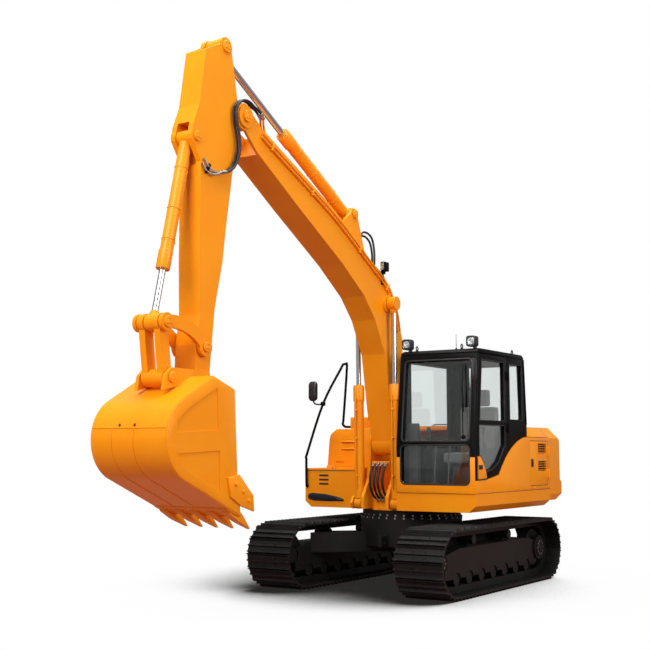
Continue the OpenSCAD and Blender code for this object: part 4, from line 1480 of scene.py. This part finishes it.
@dataclass(frozen=True)
class Ram:
    """A hydraulic cylinder, or a pair of them side by side, in machine millimetres."""

    name: str
    base: Flat
    eye: Flat
    twins: tuple[tuple[str, float], ...]  # each cylinder's name and its place sideways from the boom's middle
    barrel_r: float
    barrel_end: float
    rod_start: float
    rod_r: float
    eye_r: float
    eye_hw: float
    barrel: Body
    rod: Body
    strap: float = 5.0
    pipe_way: int = 1

    @property
    def way(self) -> Vector:
        """The line from its base to its eye."""
        return Vector((self.eye[0] - self.base[0], 0, self.eye[1] - self.base[1]))


RAMS = (
    Ram("boom", (660, 1000), (700, 3420), (("right_boom", -255), ("left_boom", 255)), 60, 1430, 1260, 30, 85, 52,
        Body.BOOM_CYLINDERS, Body.BOOM_RODS, strap=2.0),
    Ram("arm", (1400, 4420), (3890, 5710), (("arm", 0),), 68, 1480, 1220, 36, 90, 68,
        Body.ARM_CYLINDER, Body.ARM_ROD, pipe_way=-1),
    Ram("bucket", (4339, 4674), (4785, 2815), (("bucket", 0),), 60, 1380, 1010, 32, 80, 48,
        Body.BUCKET_CYLINDER, Body.BUCKET_ROD),
)


@dataclass
class WorkingGear(Assembly):
    """Pipes, hoses, pin caps and bolts of the boom, the arm and the bucket."""

    boom_y: float = -100.0
    boom_hw: float = 165.0
    bucket_hw: float = 450.0
    heel: Flat = (4700.0, 1740.0)
    lip: Flat = (4010.0, 1013.0)
    lip_run: Vector = field(default_factory=lambda: Vector((-0.9205, 0, -0.3907)))
    lip_out: Vector = field(default_factory=lambda: Vector((0.3907, 0, -0.9205)))
    nose_y: Flat = (158.0, 196.0)

    def spot(self, x: float, dy: float, z: float) -> Vector:
        """Give a place measured sideways from the middle of the boom."""
        return at(x, self.boom_y + dy, z)

    def round_heel(self, radius: float, turn_deg: float) -> Flat:
        """Give a place round the bucket's heel, as X and Z."""
        a = math.radians(turn_deg)
        return (self.heel[0] + radius * math.cos(a), self.heel[1] + radius * math.sin(a))

    def inset(self, line: Sequence[Flat], depth: float, dy: float) -> list[Vector]:
        """Shift a line of the boom or the arm into its side.

        Args:
            line: points as X and Z.
            depth: how far to the right of the way along the line.
            dy: the sideways place.

        Returns:
            The shifted smooth line.
        """
        shifted = []
        for i, (x, z) in enumerate(line):
            a, b = line[max(i - 1, 0)], line[min(i + 1, len(line) - 1)]
            run = Vector((b[0] - a[0], b[1] - a[1])).normalized()
            shifted.append(self.spot(x + run.y * depth, dy, z - run.x * depth))
        return flowing(shifted, 5)

    def clamp(self, middle: Vector, run: Vector, width: float) -> Object:
        """Model one pipe clamp: a rounded bar across the pipes with a bolt in it.

        Args:
            middle: its place between the pipes.
            run: the way of the pipes.
            width: its length across them.

        Returns:
            The new object.
        """
        bar = block((-width / 2, -14, -15), (width / 2, 14, 15), 5.0)
        bar.data.transform(Matrix.Translation(-at(0, 0, 0)))
        bolt = hex_bolt(8.0)
        bolt.data.transform(Matrix.Translation(ASIDE * 0.014) @ Matrix.Rotation(math.radians(-90), 4, "X"))
        piece = joined([bar, bolt])
        turn = math.atan2(run.z, run.x) + math.pi / 2
        piece.data.transform(Matrix.Translation(middle) @ Matrix.Rotation(-turn, 4, "Y"))
        return piece

    def boom_pipes(self) -> None:
        """Lay two steel pipes along the boom's upper edge on both sides, with clamps."""
        top = [(360, 3120), (430, 3360), (590, 3605), (802, 3780), (1052, 3912), (1873, 4361), (2997, 4848),
               (3300, 4985)]
        for side in Side:
            dy = side.value * (self.boom_hw + 22)
            lines = [self.inset(top, depth, dy) for depth in (62, 106)]
            self.fit(joined([pipe(line, 12.0) for line in lines]), f"{side.tag}_boom_pipes", body=Body.BOOM)
            clamps = []
            for k in (12, 22, 27, 31):
                middle = (lines[0][k] + lines[1][k]) / 2
                clamps.append(self.clamp(middle, lines[0][k + 1] - lines[0][k - 1], 96))
            if side is Side.RIGHT:
                for piece in clamps:
                    centre = sum((v.co for v in piece.data.vertices), Vector()) / len(piece.data.vertices)
                    piece.data.transform(Matrix.Translation(centre) @ Matrix.Rotation(math.pi, 4, "Z")
                                         @ Matrix.Scale(-1, 4, AHEAD) @ Matrix.Translation(-centre))
            self.fit(joined(clamps), f"{side.tag}_boom_clamps", body=Body.BOOM)

    def top_pipes(self) -> None:
        """Stand two steel pipes over the boom's top on brackets, and loop a hose from each down to the boom."""
        top = [(1270, 4030), (1873, 4361), (2997, 4848), (3180, 4930)]
        ferrule = [(13, -30), (17, -28), (17, -4), (15, 0), (16, 50), (13, 54)]
        for k, (dy, nose) in enumerate(zip((45, 78), self.nose_y)):
            line = self.inset(top, -72, dy)
            line += flowing([line[-1], self.spot(3255, (dy + nose) / 2, 5048), self.spot(3338, nose, 5094)], 6)[1:]
            self.fit(pipe(line, 12.0), f"boom_top_pipe_{k + 1}", body=Body.BOOM)
            lift = 40 * k
            knots = [line[0], self.spot(1150, dy, 4195 + lift), self.spot(1040, dy + 8, 4215 + lift),
                     self.spot(935, dy + 14, 4160 + lift), self.spot(890, dy + 18, 4040 + lift / 2),
                     self.spot(888, dy + 20, 3920), self.spot(900, dy + 20, 3830)]
            smooth = flowing(knots, 8)
            tube = self.fit(pipe(smooth, 13.0), f"boom_loop_hose_{k + 1}", Paint.RUBBER, Body.BOOM, 60.0)
            end = lathe(line[0], (line[0] - line[1]).normalized(), ferrule, 16)
            self.fit(end, f"boom_loop_ferrule_{k + 1}", Paint.ZINC, Body.BOOM)
        brackets = [block((x - 14, self.boom_y + 24, z - 20), (x + 14, self.boom_y + 98, z + 52), 4.0)
                    for x, z in ((1480, 4150), (2150, 4488), (2850, 4790))]
        self.fit(joined(brackets), "boom_pipe_brackets", body=Body.BOOM)

    def hose(self, name: str, knots: Sequence[Vector], radius_mm: float, bodies: tuple[Body, Body],
             start: Vector, end: Vector) -> None:
        """Draw a hose that runs over a joint, with a crimped ferrule at each end.

        Args:
            name: its name.
            knots: the points that it passes.
            radius_mm: its radius.
            bodies: the bodies before and after the joint.
            start: not used.
            end: not used.
        """
        r = radius_mm
        form = [(r * 0.9, 0), (r * 0.9, 14), (r * 1.4, 16), (r * 1.4, 30), (r * 1.2, 34), (r * 1.25, 74),
                (r * 1.05, 78)]
        line = flowing(knots, 8)
        tube = self.fit(pipe(line, radius_mm), name, Paint.RUBBER, None, 60.0)
        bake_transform(tube)
        ends = (("near", line[0], line[1], bodies[0]), ("far", line[-1], line[-2], bodies[1]))
        for tag, place, after, body in ends:
            way = (after - place).normalized()
            self.fit(lathe(place - way * 0.012, way, form, 14), f"{name}_{tag}_ferrule", Paint.ZINC, body)

    def foot_hoses(self) -> None:
        """Bow four hoses from the distributor between the boom lugs down into the platform."""
        self.fit(block((505, -222, 1450), (598, 22, 1506), 8.0), "swing_distributor")
        form = [(17, -4), (22, 0), (22, 22), (18, 26), (19, 70), (16, 74)]
        ferrules = []
        for k, y in enumerate((-178, -122, -70, -6)):
            line = [at(x, y, z) for x, z in bowed((592, 1482), (516, 1036), 165, 40)]
            tube = self.fit(pipe(line, 15.0), f"boom_foot_hose_{k + 1}", Paint.RUBBER, sharp_deg=60.0)
            for place, after in ((line[0], line[2]), (line[-1], line[-3])):
                ferrules.append(lathe(place, (after - place).normalized(), form, 16))
        self.fit(joined(ferrules), "boom_foot_ferrules", Paint.ZINC)

    def nose_hoses(self) -> None:
        """Loop two hoses from the boom's nose down to the arm."""
        route = [(3330, 5090), (3420, 5150), (3497, 5172), (3586, 5203), (3700, 5186), (3790, 5090), (3790, 4960),
                 (3745, 4800), (3738, 4650), (3808, 4487), (3920, 4400), (4020, 4372)]
        for k, dy in enumerate(self.nose_y):
            self.hose(f"arm_hose_{k + 1}", [self.spot(x, dy, z) for x, z in route], 14.0, (Body.BOOM, Body.ARM),
                      self.spot(3560, 0, 5200), self.spot(3740, 0, 4760))

    def arm_pipes(self) -> None:
        """Lead two steel pipes down the arm's left side to the bucket cylinder."""
        lines = [((4020, 158, 4372), (4100, 152, 4368), (4180, 150, 4400), (4250, 150, 4470)),
                 ((4020, 196, 4372), (4110, 170, 4332), (4210, 150, 4352), (4270, 150, 4420))]
        pipes = [pipe(flowing([self.spot(*knot) for knot in line], 6), 11.0) for line in lines]
        self.fit(joined(pipes), "arm_pipes", Paint.ZINC, Body.ARM)
        clamp = self.clamp(self.spot(4185, 146, 4382), Vector((1, 0, 0.6)), 110)
        self.fit(clamp, "arm_pipe_clamp", Paint.BLACK, Body.ARM)

    def pin_caps(self) -> None:
        """Close every pin with a bolted keeper plate on both ends."""
        pins = [("foot", (430, 1720), 50, 190, Body.UPPER), ("nose", (3620, 5040), 50, 205, Body.BOOM),
                ("crowd_base", (1400, 4420), 42, 140, Body.BOOM), ("crowd_eye", (3890, 5710), 54, 142, Body.ARM),
                ("curl_base", (4339, 4674), 40, 142, Body.ARM), ("tip", (4220, 2300), 45, 190, Body.BUCKET),
                ("link_bucket", (4715, 2305), 40, 190, Body.BUCKET),
                ("link_arm", (4220, 2620), 40, 190, Body.GUIDE_LINKS),
                ("link_top", (4785, 2815), 44, 192, Body.GUIDE_LINKS)]
        for name, (x, z), r, reach, body in pins:
            caps = []
            form = [(r + 10, 0), (r + 10, 8), (r + 6, 12), (r * 0.5, 12), (r * 0.42, 15), (0.5, 15)]
            row = 0.72 * r
            for side in Side:
                caps.append(lathe(self.spot(x, side.value * (reach - 1), z), side.out, form, 32))
                y = side.value * (reach + 11)
                spots = [self.spot(x + row * math.cos(a), y, z + row * math.sin(a)) for a in angles(3, 0.75)]
                caps.append(placed(hex_bolt(7.0), [facing(spot, side.out) for spot in spots]))
            self.fit(joined(caps), f"{name}_pin_caps", body=body)

    def cylinder_fittings(self, ram: Ram) -> None:
        """Run the oil pipe along each barrel with its straps, and bolt the gland on.

        Args:
            ram: the cylinder or pair of cylinders.
        """
        run = ram.way.normalized()
        out = Vector((run.z, 0, -run.x)) * ram.pipe_way
        r, reach = ram.barrel_r, ram.barrel_end
        for name, dy in ram.twins:
            start = self.spot(ram.base[0], dy, ram.base[1])

            def spot(along: float, off: float, turn: float = 0.0) -> Vector:
                """Give a place by its distance along and out from the barrel's axis, turned round it."""
                return start + (run * along + out * (off * math.cos(turn)) + ASIDE * (off * math.sin(turn))) / 1000

            line = [(190, r - 8), (190, r + 18), (220, r + 26), (reach - 150, r + 26), (reach - 125, r + 24),
                    (reach - 120, r - 2)]
            parts = [pipe([spot(*knot) for knot in line], 9.0)]
            for along in (330, reach * 0.55, reach - 300):
                parts.append(pipe([spot(along, r + 1, a) for a in angles(24)], ram.strap, ring=True))
                parts.append(lathe(spot(along, r - 2), out, [(16, 0), (16, 34), (12, 40), (0.5, 41)], 14))
            self.fit(joined(parts), f"{name}_cylinder_pipe", body=ram.barrel)
            bolts = [facing(spot(reach + 1, r - 8, a), run) for a in angles(8, 0.5)]
            self.fit(placed(hex_bolt(6.5), bolts), f"{name}_gland_bolts", Paint.ZINC, ram.barrel)

    def rods(self, ram: Ram) -> None:
        """Turn the piston rods with their eyes, and the glands that close the barrels.

        Args:
            ram: the cylinder or pair of cylinders.
        """
        run, full = ram.way.normalized(), ram.way.length
        r, rod_r, eye_r, eye_hw = ram.barrel_r, ram.rod_r, ram.eye_r, ram.eye_hw
        rod_form = [(rod_r - 2, ram.rod_start), (rod_r, ram.rod_start + 2), (rod_r, full - eye_r + 12)]
        neck_form = [(rod_r + 3, 0), (rod_r + 14, 24), (rod_r + 22, 60)]
        eye_form = [(eye_r - 4, 0), (eye_r, 4), (eye_r, 2 * eye_hw - 4), (eye_r - 4, 2 * eye_hw)]
        gland_form = [(r + 2, 0), (r + 9, 6), (r + 9, 184), (r + 5, 191), (rod_r + 12, 191), (rod_r + 8, 203),
                      (rod_r + 4, 203)]
        bore_form = [(rod_r + 0.6, 0), (rod_r + 0.6, 240)]
        shafts, eyes, glands = [], [], []
        for _, dy in ram.twins:
            start = self.spot(ram.base[0], dy, ram.base[1])
            shafts.append(lathe(start + run * (ram.rod_start / 1000), run, rod_form, 40))
            eyes.append(lathe(start + run * ((full - eye_r - 34) / 1000), run, neck_form, 36))
            eyes.append(lathe(start + run * (full / 1000) - ASIDE * (eye_hw / 1000), ASIDE, eye_form, 48))
            gland = lathe(start + run * ((ram.barrel_end - 190) / 1000), run, gland_form, 48)
            bore = lathe(start + run * ((ram.barrel_end - 200) / 1000), run, bore_form, 48)
            glands.append(carve(gland, [bore]))
        shaft = self.fit(joined(shafts), f"{ram.name}_rod_shafts", Paint.CHROME, ram.rod)
        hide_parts(ram.rod.value)
        self.fit(joined(eyes), f"{ram.name}_rod_eyes", body=ram.rod)
        self.fit(joined(glands), f"{ram.name}_glands", body=ram.barrel)

    def side_plates(self) -> None:
        """Weld a raised layer with two panels left open, and a bolted cutter, to each side of the bucket."""
        back = [self.round_heel(394, turn) for turn in range(-68, 65, 6)]
        shape = [(4018, 1026)] + back + [(4452, 2318), (4126, 2204), (4075, 1405)]
        panels = [[(4393, 2213), (4786, 2023), (4952, 1896), (4960, 1795), (4363, 1824)],
                  [(4349, 1634), (4946, 1607), (4817, 1465), (4342, 1248)]]
        cutter = [(4241, 1386), (4066, 1411), (3845, 1207), (3833, 1055), (4026, 1109), (4192, 1201)]
        layers, cutters = [], []
        for side in Side:
            y1, y2 = (self.boom_y + dy for dy in side.between(self.bucket_hw - 2, self.bucket_hw + 8))
            layers.append(carve(across(shape, y1, y2, 3.0), [across(panel, y1 - 30, y2 + 30) for panel in panels]))
            y1, y2 = (self.boom_y + dy for dy in side.between(self.bucket_hw + 6, self.bucket_hw + 30))
            cutters.append(across(cutter, y1, y2, 6.0))
        self.fit(joined(layers), "bucket_side_layers", body=Body.BUCKET)
        self.fit(joined(cutters), "bucket_side_cutters", body=Body.BUCKET)

    def teeth(self) -> None:
        """Shape one tooth with its slotted shank and copy it along the lip."""
        form = [(-170, -22.3), (-150, -48), (0, -52), (60, -40), (240, 28), (242, 38), (60, 42), (0, 40), (-150, 26),
                (-170, 0.3), (0.3, 0.3), (0.3, -22.3)]
        half, count, pitch = 0.043, 5, 192.5
        taper, taper_from, taper_length = 0.59, 20, 222
        lip = at(self.lip[0], 0, self.lip[1])
        corners = [lip + self.lip_run * (u / 1000) + self.lip_out * (v / 1000) - ASIDE * half for u, v in form]
        tooth = outline(corners, ASIDE * (2 * half))
        for corner in tooth.data.vertices:
            along = (corner.co - lip).dot(self.lip_run) * 1000
            corner.co.y *= 1.0 - taper * max(0.0, along - taper_from) / taper_length
        soften(tooth, 4.0)
        first = self.boom_y - pitch * (count - 1) / 2
        places = [Matrix.Translation(ASIDE * ((first + k * pitch) / 1000)) for k in range(count)]
        piece = self.fit(placed(tooth, places), "bucket_tooth_points", body=Body.BUCKET)
        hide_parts("bucket_teeth")

    def boom_lamp(self) -> None:
        """Mould the work lamp on the boom's side, with its foot and its pane."""
        inner, outer = self.boom_y + self.boom_hw + 10, self.boom_y + self.boom_hw + 70
        foot = block((790, inner - 12, 3640), (850, inner, 3815), 4.0)
        neck = block((806, inner - 2, 3770), (834, inner + 34, 3812), 4.0)
        shell = carve(block((760, inner, 3805), (884, outer, 3920), 12.0),
                      [block((874, inner + 8, 3817), (900, outer - 8, 3908), 4.0)])
        piece = self.fit(joined([foot, neck, shell]), "boom_lamp_shell", Paint.BLACK, Body.BOOM)
        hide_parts("boom_lamp")
        bowl = block((873, inner + 9, 3818), (876, outer - 9, 3907), 1.0)
        self.fit(bowl, "boom_lamp_bowl", Paint.ZINC, Body.BOOM)
        lens = block((877, inner + 10, 3819), (883, outer - 10, 3906), 2.0)
        self.fit(lens, "boom_lamp_lens", Paint.LENS, Body.BOOM)

    def bucket_details(self) -> None:
        """Bolt the side cutters on, and weld wear strips and plugs to the bucket."""
        bolts = [facing(self.spot(x, side.value * (self.bucket_hw + 30), z), side.out) for side in Side
                 for x, z in ((4010, 1250), (4130, 1322), (3920, 1160))]
        self.fit(placed(hex_bolt(17.0), bolts), "side_cutter_bolts", body=Body.BUCKET)
        run, out, skin_r, half = self.lip_run, self.lip_out, 402, 444
        lip = self.spot(self.lip[0], 0, self.lip[1])
        strips = []
        for dy in (-195, 65):
            arc = [self.round_heel(skin_r, turn) for turn in range(14, -68, -4)]
            end = lip + ASIDE * (dy / 1000) + out * 0.002 - run * 0.24
            strips.append(pipe([self.spot(x, dy, z) for x, z in arc] + [end], 4.0, round_steps=2))
        x, z = self.round_heel(skin_r, 14)
        strips.append(pipe([self.spot(x, dy, z) for dy in (-half, 0, half)], 5.0, round_steps=2))
        wear = [lip - run * 0.23, lip - run * 0.05, lip - run * 0.05 + out * 0.008, lip - run * 0.22 + out * 0.008]
        strips.append(outline([p - ASIDE * (half / 1000) for p in wear], ASIDE * (half / 500), 2.0))
        self.fit(joined(strips), "bucket_weld_seams", body=Body.BUCKET)
        x, z = self.round_heel(400, 18)
        out = Vector((x - self.heel[0], 0, z - self.heel[1])).normalized()
        plugs = [facing(self.spot(x, dy, z), out) for dy in (-110, 70)]
        pattern = lathe(Vector(), UP, [(13, -3), (13, 4), (10, 6), (6, 6), (5, 3), (0.5, 3)], 20)
        self.fit(placed(pattern, plugs), "bucket_plugs", Paint.RED_OXIDE, Body.BUCKET)

    def build(self) -> None:
        """Build every piece of the working gear."""
        self.boom_pipes()
        self.top_pipes()
        self.foot_hoses()
        self.nose_hoses()
        self.arm_pipes()
        self.pin_caps()
        for ram in RAMS:
            self.cylinder_fittings(ram)
            self.rods(ram)
        self.side_plates()
        self.teeth()
        self.boom_lamp()
        self.bucket_details()


def main() -> None:
    """Build the machine's looks in order."""
    logging.basicConfig(level=logging.INFO, format="%(name)s: %(message)s")
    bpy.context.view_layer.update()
    palette = Palette()
    Studio().build()
    palette.dress_nodes()
    for assembly in (WorkingGear, Undercarriage, BodyPanels, UpperBody, CabShell, Cab):
        assembly(palette).build()


if __name__ == "__main__":
    main()
